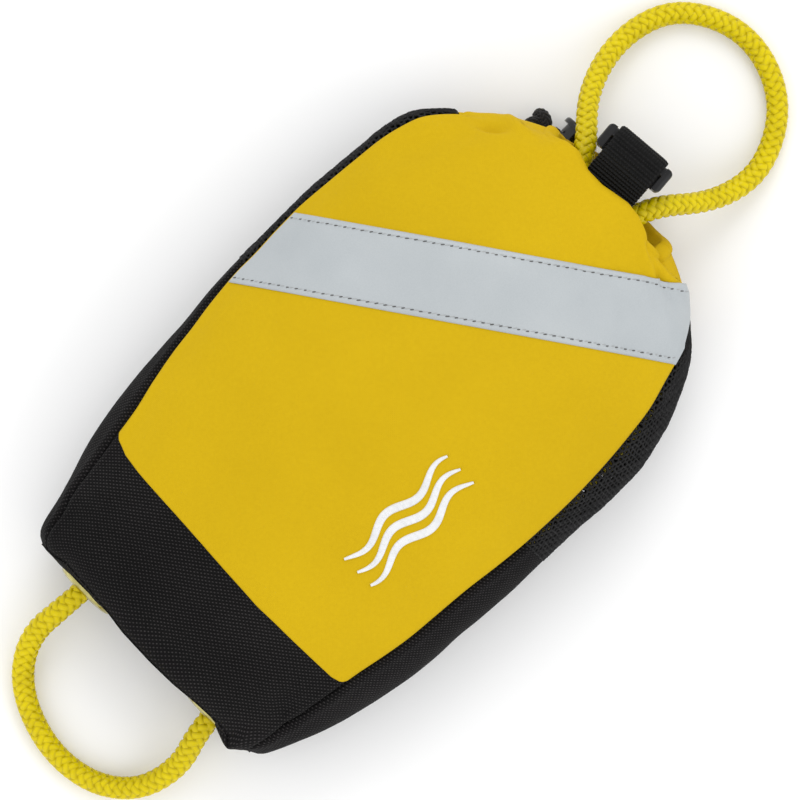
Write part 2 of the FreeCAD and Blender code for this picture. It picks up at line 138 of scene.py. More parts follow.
# ---------------------------------------------------------------- routes of the ropes
throw_route = [
    (-8.5, 188.2, 28.0), (-9.0, 198.5, 27.6), (-13.5, 212.0, 27.4), (-28.0, 227.0, 13.5), (-32.9, 247.9, 5.0),
    (-26.2, 267.7, 3.6), (-4.4, 277.9, 3.6), (18.5, 270.5, 3.6), (30.5, 250.5, 4.6), (27.2, 231.3, 11.5),
    (12.3, 213.9, 27.2), (9.4, 198.5, 27.6), (9.0, 188.2, 28.0),
]
handle_route = [
    (-28.0, 9.0, 19.5), (-29.4, -8.5, 17.8), (-30.8, -24.6, 9.8), (-21.0, -38.5, 4.6), (-2.0, -46.0, 3.6),
    (16.5, -44.5, 3.6), (29.5, -35.0, 5.0), (33.4, -19.5, 11.0), (29.2, -6.5, 18.2), (28.0, 9.0, 19.5),
]
drawcord_route = [
    (-16.0, 201.2, 18.6), (-38.3, 201.2, 18.6), (-38.3, 201.2, 38.8), (0.5, 201.8, 38.8), (39.2, 201.2, 38.8),
    (39.2, 201.2, 18.6), (12.0, 201.2, 18.6), (3.0, 205.0, 10.8), (-6.0, 207.6, 6.6), (-27.4, 207.6, 6.6),
]


def line_of(name, route, resolution=16):
    """Points along the NURBS spline whose control points are the route's."""
    cu = bpy.data.curves.new(name, "CURVE")
    cu.dimensions = "3D"
    cu.resolution_u = resolution
    sp = cu.splines.new("NURBS")
    sp.points.add(len(route) - 1)
    for pt, co in zip(sp.points, row(route)):
        pt.co = (*co, 1.0)
    sp.order_u = 3
    sp.use_endpoint_u = True
    o = bpy.data.objects.new(name, cu)
    scene.collection.objects.link(o)
    bpy.context.view_layer.update()
    me = bpy.data.meshes.new_from_object(o.evaluated_get(bpy.context.evaluated_depsgraph_get()))
    pts = np.array([tuple(v.co) for v in me.vertices]) / MM
    bpy.data.objects.remove(o)
    keep = np.r_[True, np.linalg.norm(np.diff(pts, axis=0), axis=1) > 1e-6]
    return pts[keep]


class Line:
    """A polyline with a frame that doesn't twist, looked up by distance along it.

    spread is how much wider a slack rope lies, sideways, where the line bends.
    """

    def __init__(self, pts, step=0.25, spread=0.0):
        self.spread = spread
        s = np.r_[0, np.cumsum(np.linalg.norm(np.diff(pts, axis=0), axis=1))]
        self.length = s[-1]
        n = max(8, int(self.length / step))
        self.s = np.linspace(0, s[-1], n)
        self.p = np.stack([np.interp(self.s, s, pts[:, k]) for k in range(3)], -1)
        kern = np.ones(5) / 5
        inner = np.stack([np.convolve(self.p[:, k], kern, "valid") for k in range(3)], -1)
        self.p[2:-2] = inner
        t = unit(np.gradient(self.p, axis=0))
        up = np.array([0.0, 0.0, 1.0])
        n0 = up - t[0] * (up @ t[0])
        if np.linalg.norm(n0) < 0.1:
            n0 = np.array([1.0, 0, 0]) - t[0] * t[0][0]
        n0 /= np.linalg.norm(n0)
        ns = [n0]
        for i in range(1, n):
            v = ns[-1] - t[i] * (ns[-1] @ t[i])
            ns.append(v / np.linalg.norm(v))
        self.t = t
        # 0 where the line is straight, 1 where it bends to a radius of 28 mm or less
        turn = np.linalg.norm(np.gradient(t, self.s, axis=0), axis=1)
        k = max(3, int(12.0 / step))
        turn = np.convolve(np.pad(turn, k, mode="edge"), np.ones(2 * k + 1) / (2 * k + 1), "valid")
        self.bend = np.clip(turn * 28.0, 0, 1)
        self.n = np.array(ns)
        self.b = np.cross(t, self.n)

    def path(self, every):
        """Every so many of the line's points and its last, in metres."""
        return [tuple(p) for p in self.p[::every] * MM] + [tuple(self.p[-1] * MM)]

    def look(self, values, s):
        """Vectors given at the line's points, at distances s."""
        return np.stack([np.interp(s, self.s, values[:, k]) for k in range(3)], -1)

    def at(self, s, theta, r):
        """Points at distance s, angle theta about the line and radius r."""
        s = np.clip(s, 0, self.length)
        up, across = np.cos(theta)[..., None], np.sin(theta)[..., None]
        out = (self.look(self.n, s) * up + self.look(self.b, s) * across) * r[..., None]
        if self.spread:
            t = self.look(self.t, s)
            side = np.stack([t[..., 1], -t[..., 0], 0 * s], -1)
            side /= np.maximum(np.linalg.norm(side, axis=-1), 1e-6)[..., None]
            wide = self.spread * np.interp(s, self.s, self.bend)[..., None]
            out = out + side * (out * side).sum(-1)[..., None] * wide
        return self.look(self.p, s) + out


def tube_mesh(name, line, radius, sides, step):
    """Plain round tube along a line, for rope that is seen only through the knit."""
    rows = max(3, int(line.length / step))
    s = np.linspace(0, line.length, rows)[:, None] + np.zeros((1, sides))
    th = np.zeros((rows, 1)) + np.linspace(0, 2 * math.pi, sides, endpoint=False)[None, :]
    v = line.at(s, th, np.full(s.shape, radius))
    uv = np.stack([th * radius, s], -1) * 0.01
    return make_mesh(name, v * MM, tube_faces(rows, sides), None, uv)


def braid_mesh(name, line, diameter, carriers=8, lay=58.0, step=0.4, material=None, over=1):
    """Hollow braid: half the yarns turn each way and pass over and under the others."""
    half = carriers // 2
    big = diameter / 2.0
    rise = 0.034 * diameter
    thick = (0.046 if over == 1 else 0.066) * diameter
    r0 = big - rise - thick
    alpha = math.radians(lay)
    omega = math.tan(alpha) / (r0 + rise)
    spacing = 2 * math.pi * (r0 + rise) / half * math.cos(alpha)
    a = spacing * 0.51
    columns = 9
    w = np.linspace(-1, 1, columns)
    profile = np.sqrt(np.clip(1 - np.abs(w) ** 2.5, 0, 1))     # height across a yarn
    rows = int(line.length / step) + 1
    s0 = np.linspace(0, line.length, rows)
    verts, faces, uvs = [], [], []
    zones = carriers // (2 * over)      # times that a yarn goes under in one turn round the rope
    offset = (over - 1) * math.pi / carriers
    for turn in (1, -1):
        for i in range(half):
            phase = 2 * math.pi * i / half
            theta_c = phase + turn * omega * s0
            gate = np.tanh(1.5 * np.cos(zones * (theta_c - offset))) * turn
            s = s0[:, None] - turn * w[None, :] * a * math.sin(alpha)
            theta = theta_c[:, None] + w[None, :] * a * math.cos(alpha) / (r0 + rise)
            swell = 1.0 + 0.10 * gate[:, None]
            r = r0 + rise * gate[:, None] + thick * (profile[None, :] * 1.9 - 0.9) * swell
            s = np.clip(s, 0, line.length)
            start = sum(len(x) for x in verts)
            v = line.at(s, theta, r).reshape(-1, 3)
            verts.append(v)
            yarn_uv = np.stack([w[None, :] * a + np.zeros_like(s) + 4.0 * a * i, s + 17.0 * i], -1)
            uvs.append(yarn_uv.reshape(-1, 2) * 0.01)
            faces.append(grid_faces(rows, columns, start=start, flip=turn > 0))
    v = np.concatenate(verts)
    # a solid core behind the yarns
    sides = 16
    rows_c = max(3, int(line.length / 2.0))
    sc = np.linspace(0.02, line.length - 0.02, rows_c)[:, None] + np.zeros((1, sides))
    thc = np.zeros((rows_c, 1)) + np.linspace(0, 2 * math.pi, sides, endpoint=False)[None, :]
    core = line.at(sc, thc, np.full(sc.shape, r0 - 0.1 * thick)).reshape(-1, 3)
    all_faces = [tuple(f) for g in faces for f in g] + tube_faces(rows_c, sides, start=len(v))
    uv = np.concatenate(uvs + [np.stack([thc * r0, sc], -1).reshape(-1, 2) * 0.01])
    return make_mesh(name, np.concatenate([v, core]) * MM, all_faces, material, uv)


# ---------------------------------------------------------------- materials
def new_material(name):
    """A material, its node tree and its surface shader."""
    m = bpy.data.materials.new(name)
    m.use_nodes = True
    nt = m.node_tree
    bsdf = nt.nodes["Principled BSDF"]
    return m, nt, bsdf


def node(nt, kind, **values):
    n = nt.nodes.new(kind)
    for k, v in values.items():
        if k in n.inputs:
            n.inputs[k].default_value = v
        else:
            setattr(n, k, v)
    return n


def math_node(nt, op, a, b=None):
    n = nt.nodes.new("ShaderNodeMath")
    n.operation = op
    for i, v in enumerate((a, b)):
        if v is None:
            continue
        if isinstance(v, (int, float)):
            n.inputs[i].default_value = v
        else:
            nt.links.new(v, n.inputs[i])
    return n.outputs[0]


def blend(nt, a, share_a, b, share_b):
    """a times its share plus b times its own."""
    return math_node(nt, "ADD", math_node(nt, "MULTIPLY", a, share_a), math_node(nt, "MULTIPLY", b, share_b))


def coords(nt, kind="Object"):
    if kind == "UV":
        n = nt.nodes.new("ShaderNodeUVMap")
        n.uv_map = "UVMap"
        return n.outputs["UV"]
    return nt.nodes.new("ShaderNodeTexCoord").outputs[kind]


def noise(nt, vector, scale, detail=3.0, rough=0.55):
    """Noise with this many cells to the metre for object coordinates."""
    n = node(nt, "ShaderNodeTexNoise", Scale=scale, Detail=detail, Roughness=rough)
    nt.links.new(vector, n.inputs["Vector"])
    return n.outputs["Fac"]


def ramp(nt, value, stops):
    """Colour ramp; each stop is (position, linear colour)."""
    n = nt.nodes.new("ShaderNodeValToRGB")
    els = n.color_ramp.elements
    els[0].position, els[0].color = stops[0][0], (*stops[0][1], 1)
    els[1].position, els[1].color = stops[-1][0], (*stops[-1][1], 1)
    for pos, col in stops[1:-1]:
        e = els.new(pos)
        e.color = (*col, 1)
    nt.links.new(value, n.inputs[0])
    return n.outputs["Color"]


def bump(nt, bsdf, layers):
    """Chain of bumps; each layer is (height, distance in metres, strength)."""
    normal = None
    for height, distance, strength in layers:
        b = nt.nodes.new("ShaderNodeBump")
        b.inputs["Distance"].default_value = distance
        b.inputs["Strength"].default_value = strength
        nt.links.new(height, b.inputs["Height"])
        if normal is not None:
            nt.links.new(normal, b.inputs["Normal"])
        normal = b.outputs["Normal"]
    nt.links.new(normal, bsdf.inputs["Normal"])


def phases(nt, uv, *pitches):
    """Angles that turn by pi over each pitch, from UVs that hold millimetres over a hundred."""
    sep = nt.nodes.new("ShaderNodeSeparateXYZ")
    nt.links.new(uv, sep.inputs[0])
    return [math_node(nt, "MULTIPLY", axis, 100.0 * math.pi / p) for axis, p in zip(sep.outputs, pitches)]


def weave(nt, pitch_u, pitch_v, distort=0.0, slant=0.0):
    """Height of a plain weave."""
    uv = coords(nt, "UV")
    if distort:
        nz = node(nt, "ShaderNodeTexNoise", Scale=60.0, Detail=2.0)
        nt.links.new(uv, nz.inputs["Vector"])
        mix = nt.nodes.new("ShaderNodeVectorMath")
        mix.operation = "MULTIPLY_ADD"
        nt.links.new(nz.outputs["Color"], mix.inputs[0])
        mix.inputs[1].default_value = (distort, distort, 0)
        nt.links.new(uv, mix.inputs[2])
        uv = mix.outputs[0]
    u, v = phases(nt, uv, pitch_u, pitch_v)
    su = math_node(nt, "SINE", u)
    sv = math_node(nt, "SINE", v)
    warp = math_node(nt, "MULTIPLY", su, sv)
    body = math_node(nt, "MULTIPLY", math_node(nt, "ABSOLUTE", su), math_node(nt, "ABSOLUTE", sv))
    if slant:
        oblique = math_node(nt, "COSINE", math_node(nt, "ADD", u, v))
        body = math_node(nt, "ADD", body, math_node(nt, "MULTIPLY", oblique, slant))
    return math_node(nt, "ADD", math_node(nt, "MULTIPLY", warp, 0.35), body)


def fabric_material(name, low, high, pitch, bump_mm, rough, sheen, distort=0.0, speck=None, puff=0.0,
                    gloss=0.3, weave_tone_and_shade=0.12, slant=0.0):
    """Woven cloth: colour and bump follow the weave, with broad and fine variation over it; the share of the
    weave's height put into the colour darkens the gaps between yarns as painted shade and gives the warp and
    weft cells their own tones.
    """
    m, nt, bsdf = new_material(name)
    height = weave(nt, *pitch, distort=distort, slant=slant)
    obj = coords(nt)
    mixv = blend(nt, noise(nt, obj, 18.0, 4.0), 0.55, noise(nt, obj, 900.0, 2.0), 0.30)
    # painted shade in the gaps between yarns, and the cells' own tone, from the weave's height
    mixv = math_node(nt, "ADD", mixv, math_node(nt, "MULTIPLY", math_node(nt, "SUBTRACT", height, 0.4), weave_tone_and_shade))
    stops = [(0.30, low), (0.75, high)] if speck is None else [(0.30, low), (0.62, high), (0.80, speck)]
    nt.links.new(ramp(nt, mixv, stops), bsdf.inputs["Base Color"])
    bsdf.inputs["Roughness"].default_value = rough
    bsdf.inputs["Sheen Weight"].default_value = sheen
    bsdf.inputs["Sheen Roughness"].default_value = 0.5
    bsdf.inputs["Specular IOR Level"].default_value = gloss
    layers = [(height, bump_mm * MM, 0.9)]
    if puff:
        layers.insert(0, (noise(nt, obj, 70.0, 3.0), puff * MM, 0.6))
    bump(nt, bsdf, layers)
    return m


yellow = fabric_material("pack_cloth_yellow", (0.532, 0.346, 0.0035), (0.618, 0.412, 0.0050), (0.42, 0.42),
                         0.045, 0.75, 0.0, puff=0.25, gloss=0.10)
black = fabric_material("cordura_black", (0.0016, 0.0014, 0.0015), (0.0095, 0.0086, 0.0087), (0.92, 0.68),
                        0.15, 0.85, 0.0, distort=0.0018, speck=(0.036, 0.033, 0.033), puff=0.3,
                        gloss=0.13, weave_tone_and_shade=0.40, slant=-0.28)


def yarn_material(name, low, high, rough, fibre_mm=0.12, sheen=0.1, gloss=0.5,
                  fibre_bump=0.06, yarn=0.0):
    """Twisted yarn: fibres along it; where yarn, a width in millimetres, is given, painted shade darkens each
    yarn's edges and a painted highlight lightens its middle.
    """
    m, nt, bsdf = new_material(name)
    uv = coords(nt, "UV")
    mapping = nt.nodes.new("ShaderNodeMapping")
    mapping.inputs["Scale"].default_value = (100.0 / fibre_mm, 100.0 / (fibre_mm * 14), 1)
    nt.links.new(uv, mapping.inputs["Vector"])
    fib = noise(nt, mapping.outputs[0], 1.0, 2.0)
    v = blend(nt, fib, 0.6, noise(nt, coords(nt), 140.0, 2.0), 0.4)
    # painted shade at each yarn's edges and painted highlight along its middle
    if yarn:
        across = math_node(nt, "ABSOLUTE", math_node(nt, "COSINE", phases(nt, uv, yarn)[0]))
        v = blend(nt, v, 0.7, across, 0.30)
    nt.links.new(ramp(nt, v, [(0.32, low), (0.68, high)]), bsdf.inputs["Base Color"])
    bsdf.inputs["Roughness"].default_value = rough
    bsdf.inputs["Sheen Weight"].default_value = sheen
    bsdf.inputs["Specular IOR Level"].default_value = gloss
    bump(nt, bsdf, [(fib, fibre_bump * MM, 0.8)])
    return m


YARN_W = 2.61         # width of one yarn of the rope, and the pitch of its painted edge shade
rope_mat = yarn_material("rope_yarn_yellow", (0.41, 0.312, 0.0001), (0.67, 0.535, 0.0002), 0.25,
                         sheen=0.0, gloss=0.17, fibre_bump=0.02, yarn=YARN_W)
drawcord_mat = yarn_material("drawcord_black", (0.004, 0.004, 0.004), (0.022, 0.021, 0.021), 0.8,
                             sheen=0.15, gloss=0.2)
thread_dark = yarn_material("thread_dark", (0.045, 0.045, 0.046), (0.12, 0.118, 0.115), 0.6, sheen=0.0)
thread_black = yarn_material("thread_black", (0.006, 0.006, 0.006), (0.030, 0.030, 0.030), 0.6, sheen=0.0)
thread_grey = yarn_material("thread_grey", (0.28, 0.29, 0.29), (0.40, 0.41, 0.41), 0.6, sheen=0.0)
thread_white = yarn_material("thread_white", (0.62, 0.63, 0.64), (0.80, 0.80, 0.81), 0.45,
                             fibre_mm=0.18, sheen=0.0)


def mottled(name, scale, detail, stops, rough, rough_scale=None, metallic=0.0, level=0.5, grain=0.0):
    """Colour from a noise; roughness is one value, or a range that a second noise runs over."""
    m, nt, bsdf = new_material(name)
    obj = coords(nt)
    nt.links.new(ramp(nt, noise(nt, obj, scale, detail), stops), bsdf.inputs["Base Color"])
    if rough_scale:
        r = nt.nodes.new("ShaderNodeMapRange")
        r.inputs["To Min"].default_value, r.inputs["To Max"].default_value = rough
        nt.links.new(noise(nt, obj, rough_scale, 4.0), r.inputs["Value"])
        nt.links.new(r.outputs[0], bsdf.inputs["Roughness"])
    else:
        bsdf.inputs["Roughness"].default_value = rough
    bsdf.inputs["Metallic"].default_value = metallic
    bsdf.inputs["Specular IOR Level"].default_value = level
    if grain:
        bump(nt, bsdf, [(noise(nt, obj, 1500.0, 2.0), grain * MM, 0.5)])
    return m


def plastic(name, colour, rough, grain=0.0, level=0.5):
    lighter = tuple(c * 1.5 + 0.002 for c in colour)
    return mottled(name, 500.0, 3.0, [(0.35, colour), (0.75, lighter)], (rough * 0.8, rough * 1.3), 160.0,
                   level=level, grain=grain)


lock_mat = plastic("plastic_black_gloss", (0.003, 0.003, 0.0035), 0.16, level=0.45)
buckle_mat = plastic("plastic_black_satin", (0.004, 0.004, 0.0045), 0.28, grain=0.02, level=0.30)
brass = mottled("grommet_brass", 240.0, 5.0, [(0.30, (0.30, 0.26, 0.075)), (0.60, (0.56, 0.51, 0.21))],
                (0.10, 0.26), 420.0, metallic=1.0)
steel = mottled("spring_steel", 300.0, 3.0, [(0.3, (0.40, 0.40, 0.41)), (0.7, (0.62, 0.62, 0.63))],
                0.3, metallic=1.0)
foam_mat = mottled("foam_grey", 700.0, 3.0, [(0.3, (0.030, 0.030, 0.032)), (0.7, (0.060, 0.060, 0.062))], 0.9)


def tape_material():
    m, nt, bsdf = new_material("reflective_tape")
    obj = coords(nt)
    beads = noise(nt, obj, 2600.0, 1.0)
    v = blend(nt, noise(nt, obj, 26.0, 4.0), 0.7, beads, 0.3)
    stops = [(0.30, (0.368, 0.398, 0.416)), (0.72, (0.450, 0.478, 0.492))]
    nt.links.new(ramp(nt, v, stops), bsdf.inputs["Base Color"])
    bsdf.inputs["Roughness"].default_value = 0.55
    bsdf.inputs["Metallic"].default_value = 0.15
    bump(nt, bsdf, [(noise(nt, obj, 55.0, 3.0), 0.22 * MM, 0.5), (beads, 0.02 * MM, 0.6)])
    return m


tape_mat = tape_material()

# ---------------------------------------------------------------- ropes
throw_line = Line(line_of("throw_line", throw_route), spread=0.09)
handle_line = Line(line_of("handle_line", handle_route), spread=0.12)
draw_line = Line(line_of("draw_line", drawcord_route))
ROPE = 6.35           # nominal diameter
SLACK = 1.07          # a slack hollow braid is a little thicker than that

throw_rope = braid_mesh("throw_loop_rope", throw_line, ROPE * SLACK, material=rope_mat)
on_bag(throw_rope, "rope_yellow", "rope_throw_loop")

handle_rope = braid_mesh("handle_loop_rope", handle_line, ROPE * SLACK, material=rope_mat)
on_bag(handle_rope, "rope_yellow", "rope_handle_loop")

FINE_BRAID = dict(carriers=16, lay=42.0, over=2, material=drawcord_mat)
drawcord = braid_mesh("drawcord_braid", draw_line, 3.0, **FINE_BRAID)
on_bag(drawcord, "cord_black", "drawcord")

# ---------------------------------------------------------------- shape of the sewn bag
# distance b, left and right half widths, underside, top, left and right front seams,
# half of the straight middle of the crown, power of the crown
stations = np.array([
    (0.0, 50.9, 48.0, 2.2, 37.2, 47.8, 44.6, 13.0, 2.3),
    (6.0, 53.3, 51.2, 0.8, 41.6, 50.2, 46.4, 11.0, 2.3),
    (14.0, 55.0, 54.6, 0.0, 45.5, 51.4, 47.8, 9.0, 2.3),
    (37.0, 61.2, 61.6, 0.0, 52.5, 55.8, 51.8, 6.0, 2.3),
    (56.0, 64.1, 65.2, 0.0, 56.0, 59.4, 55.2, 4.0, 2.3),
    (82.0, 66.2, 67.2, 0.0, 58.0, 63.4, 58.0, 3.0, 2.3),
    (110.0, 68.1, 69.2, 0.0, 58.0, 66.0, 61.2, 3.0, 2.3),
    (132.0, 68.0, 70.0, 0.0, 57.5, 66.6, 61.9, 3.0, 2.3),
    (150.0, 67.6, 70.5, 0.0, 56.0, 65.4, 60.9, 4.0, 2.3),
    (166.0, 67.0, 67.4, 2.5, 53.4, 63.6, 59.0, 8.0, 2.2),
    (180.0, 63.3, 61.2, 8.0, 49.6, 60.2, 56.0, 16.0, 2.1),
    (190.0, 54.6, 55.2, 12.0, 46.8, 52.8, 52.6, 22.0, 2.0),
    (196.0, 47.2, 49.0, 14.2, 45.2, 46.4, 48.0, 25.0, 2.0),
    (201.0, 41.0, 42.9, 15.3, 43.9, 40.2, 42.2, 23.0, 2.0),
    (205.0, 34.2, 36.3, 15.8, 43.1, 33.6, 35.4, 20.0, 2.0),
    (MOUTH_B, 26.4, 25.8, 16.2, 42.4, 25.6, 25.2, 16.5, 2.0),
])


def station(b):
    """All station values at distances b, smooth and without overshoot."""
    x = stations[:, 0]
    b = np.clip(np.asarray(b, float), x[0], x[-1])
    h = np.diff(x)
    k = np.clip(np.searchsorted(x, b) - 1, 0, len(h) - 1)
    t = (b - x[k]) / h[k]
    out = []
    for c in range(1, stations.shape[1]):
        y = stations[:, c]
        d = np.diff(y) / h
        m = np.zeros(len(x))
        m[0], m[-1] = d[0], d[-1]
        for i in range(1, len(x) - 1):
            if d[i - 1] * d[i] > 0:
                w1, w2 = 2 * h[i] + h[i - 1], h[i] + 2 * h[i - 1]
                m[i] = (w1 + w2) / (w1 / d[i - 1] + w2 / d[i])
        y0, y1, m0, m1 = y[k], y[k + 1], m[k] * h[k], m[k + 1] * h[k]
        out.append((2 * t**3 - 3 * t**2 + 1) * y0 + (t**3 - 2 * t**2 + t) * m0
                   + (-2 * t**3 + 3 * t**2) * y1 + (t**3 - t**2) * m1)
    return out


FRONT, SIDE, BACK = 120, 34, 96


def section(b):
    """Outline at b as points evenly spaced within front, left gusset, back and right gusset."""
    left, right, low, high, seam_l, seam_r, flat, n = [float(v) for v in station(b)]
    mid = (right - left) / 2
    a = (right + left) / 2
    zc = low + 0.45 * (high - low)
    up, down = high - zc, zc - low
    corner = min(0.42 * a, 1.1 * down)
    phi = np.linspace(0, math.pi, 361)
    cx = np.cos(phi)
    ux = mid + np.sign(cx) * (flat + (a - flat) * np.abs(cx) ** (2 / n))
    uz = zc + up * np.abs(np.sin(phi)) ** (2 / n)
    ux[180] = mid
    t = np.linspace(0, math.pi / 2, 61)[1:]
    lx = mid - (a - corner) - corner * np.cos(t)
    lz = zc - down * np.sin(t)
    rx = mid + (a - corner) + corner * np.cos(t[::-1])
    x = np.concatenate([ux, lx, rx])
    z = np.concatenate([uz, lz, lz[::-1]])
    s = np.r_[0, np.cumsum(np.hypot(np.diff(x), np.diff(z)))]
    total = s[-1] + math.hypot(x[0] - x[-1], z[0] - z[-1])
    top_half = slice(0, 181)
    s_r = np.interp(-seam_r, -ux[top_half], s[top_half])
    s_l = np.interp(seam_l, -ux[180:361], s[180:361])
    s_bl = s[360 + 30]
    s_br = s[361 + 60 + 30]
    xs = np.r_[x, x[0]]
    zs = np.r_[z, z[0]]
    ss = np.r_[s, total]
    knots = [(s_r, s_l, FRONT), (s_l, s_bl, SIDE), (s_bl, s_br, BACK), (s_br, total + s_r, SIDE)]
    along = np.concatenate([np.linspace(p, q, n_, endpoint=False) for p, q, n_ in knots])
    return np.interp(along % total, ss, xs), np.interp(along % total, ss, zs), along, total


COLS = FRONT + 2 * SIDE + BACK
LEFT_SEAM, RIGHT_SEAM = FRONT + SIDE, FRONT + SIDE + BACK
ROWS = 177
rows_b = np.linspace(0.0, MOUTH_B, ROWS)
shell = np.zeros((ROWS, COLS, 3))
arc = np.zeros((ROWS, COLS))
for i, b in enumerate(rows_b):
    x, z, along, total = section(b)
    shell[i, :, 0] = x
    shell[i, :, 1] = b
    shell[i, :, 2] = z
    arc[i] = along


def row_at(b):
    """Row of the shell, in fractions, at distance b."""
    return b / MOUTH_B * (ROWS - 1)


def normals(grid):
    """Unit normals of the shell, pointing out of the bag."""
    du = np.roll(grid, -1, 1) - np.roll(grid, 1, 1)
    dv = np.gradient(grid, axis=0)
    n = np.cross(dv, du)
    n = n / np.maximum(np.linalg.norm(n, axis=2), 1e-9)[..., None]
    outward = ((grid - grid.mean(axis=1, keepdims=True)) * n).sum() >= 0
    return n if outward else -n


nrm = normals(shell)
X, B = shell[..., 0], shell[..., 1]


def soft_noise(seed, cells, amount):
    """Smooth random field over the shell, periodic round it."""
    g = np.random.default_rng(seed)
    cu, cv = cells
    coarse = g.standard_normal((cv + 3, cu))
    u = np.arange(COLS) / COLS * cu
    v = np.arange(ROWS) / (ROWS - 1) * cv
    iu, iv = np.floor(u).astype(int), np.floor(v).astype(int)
    fu, fv = u - iu, v - iv
    fu, fv = fu * fu * (3 - 2 * fu), fv * fv * (3 - 2 * fv)
    a = coarse[iv][:, iu % cu] * (1 - fu) + coarse[iv][:, (iu + 1) % cu] * fu
    c = coarse[iv + 1][:, iu % cu] * (1 - fu) + coarse[iv + 1][:, (iu + 1) % cu] * fu
    return amount * (a * (1 - fv[:, None]) + c * fv[:, None])


# the edge of the mouth and the edge of the bottom aren't straight across the bag
mouth_x = np.array([-26.5, -22.0, -18.3, -14.0, -11.5, -3.4, 8.4, 13.6, 20.9, 25.5])
mouth_b = np.array([207.0, 209.0, 209.5, 208.2, 207.3, 207.2, 208.9, 208.4, 205.9, 203.6])
foot_x = np.array([-50, -48.6, -44, -39.4, -28, -17.3, -10.3, 2.7, 13, 22, 33, 38, 41, 44.5, 48.0])
foot_b = np.array([1.2, 0.2, 0.6, 1.7, 1.2, 0.2, -0.8, -1.3, -1.1, -0.3, 0.1, -0.2, -3.4, -1.7, 1.4])
is_front = smoothstep(shell[..., 2], 24.0, 34.0)
back_edge = 210.2 + 4.4 * np.exp(-((X + 12.0) / 7.0) ** 2)
mouth_edge = is_front * np.interp(X, mouth_x, mouth_b) + (1 - is_front) * back_edge
foot_edge = smoothstep(shell[..., 2], 17.0, 33.0) * np.interp(X, foot_x, foot_b)
EDGE_R = 3.6          # rounding of the bottom edge
turn = np.clip(1 - B / EDGE_R, 0, 1)
turn = EDGE_R * (1 - np.sqrt(1 - np.minimum(turn, 0.98) ** 2))
shell -= nrm * np.array([1.0, 0.0, 1.0]) * turn[..., None]
B += (mouth_edge - MOUTH_B) * smoothstep(B, 188.0, MOUTH_B) + foot_edge * (1 - smoothstep(B, 0.0, 9.0))


def refine(grid):
    """Twice the rows and columns less one row, with a smooth curve through the old points."""
    g = np.concatenate([grid[:1] * 2 - grid[1:2], grid, grid[-1:] * 2 - grid[-2:-1]])
    mid = (-g[:-3] + 9 * g[1:-2] + 9 * g[2:-1] - g[3:]) / 16
    out = np.zeros((2 * len(grid) - 1,) + grid.shape[1:])
    out[::2], out[1::2] = grid, mid
    mid = (-np.roll(out, 1, 1) + 9 * out + 9 * np.roll(out, -1, 1) - np.roll(out, -2, 1)) / 16
    both = np.zeros((len(out), 2 * out.shape[1], 3))
    both[:, ::2], both[:, 1::2] = out, mid
    return both


def settle(target, frames=26):
    """Cloth simulation of the sewn bag.

    The cloth is longer round the mouth than the drawn opening, so it buckles into gathers,
    and it is slightly slack elsewhere, so it settles in soft waves over what fills it.
    """
    rows_c, cols_c = target.shape[:2]
    o = make_mesh("bag_cloth", row(target), grid_faces(rows_c, cols_c, closed=True))
    o.shape_key_add(name="Basis")
    key = o.shape_key_add(name="before_gathering")
    mid = target.mean(axis=1, keepdims=True)
    b_line = target[:, :1, 1]
    grow = 1.006 + 0.16 * smoothstep(b_line, 168, 206)
    rest = mid + (target - mid) * np.stack([grow, np.ones_like(grow), grow], -1)
    key.data.foreach_set("co", row(rest).ravel())
    key.value = 0.0
    z, b = target[..., 2], target[..., 1]
    hold = 0.30 + 0.25 * (1 - smoothstep(z, 1.0, 8.0))
    hold = np.maximum(hold, 1.0 - smoothstep(b, 1.0, 10.0) * 0.7)
    hold = np.maximum(hold, 0.42 * smoothstep(b, 206.0, 209.0))
    group = o.vertex_groups.new(name="hold")
    for i, w in enumerate(hold.ravel()):
        group.add([i], float(min(1.0, w)), "REPLACE")
    cloth = o.modifiers.new("cloth", "CLOTH")
    cs = cloth.settings
    cs.quality = 7
    cs.mass = 0.15
    cs.tension_stiffness = cs.compression_stiffness = 40
    cs.shear_stiffness = 12
    cs.bending_stiffness = 0.6
    cs.air_damping = 3
    cs.vertex_group_mass = "hold"
    cs.pin_stiffness = 0.6
    cs.rest_shape_key = key
    cs.use_pressure = True
    cs.uniform_pressure_force = 2.0
    cs.effector_weights.gravity = 0
    cloth.collision_settings.use_collision = False
    cloth.point_cache.frame_start, cloth.point_cache.frame_end = 1, frames
    for f in range(1, frames + 1):
        scene.frame_set(f)
    me = o.evaluated_get(bpy.context.evaluated_depsgraph_get()).to_mesh()
    co = np.empty(len(me.vertices) * 3)
    me.vertices.foreach_get("co", co)
    moved = co.reshape(rows_c, cols_c, 3) / MM
    moved[..., 1] += Y0
    bpy.data.objects.remove(o)
    scene.frame_set(1)
    shift = moved - target
    size = np.linalg.norm(shift, axis=2)
    print("settle: mean %.2f mm, most %.2f mm" % (size.mean(), size.max()))
    cap = 4.0
    return shift * (cap * np.tanh(size / cap) / np.maximum(size, 1e-9))[..., None]


shift = refine(settle(shell[::2, ::2]))
along_n = (shift * nrm).sum(axis=2)
shell += nrm * along_n[..., None]
nrm = normals(shell)
X, B = shell[..., 0], shell[..., 1]

# stuffed rope shows as soft lumps, more at the sides than on the taut front
lumps = soft_noise(3, (15, 9), 0.40) + soft_noise(4, (34, 20), 0.16)
keep_flat = smoothstep(shell[..., 2], 0.0, 9.0)
fade = smoothstep(B, 2.0, 20.0) * (1 - 0.6 * smoothstep(B, 190, 205))
disp = lumps * keep_flat * fade


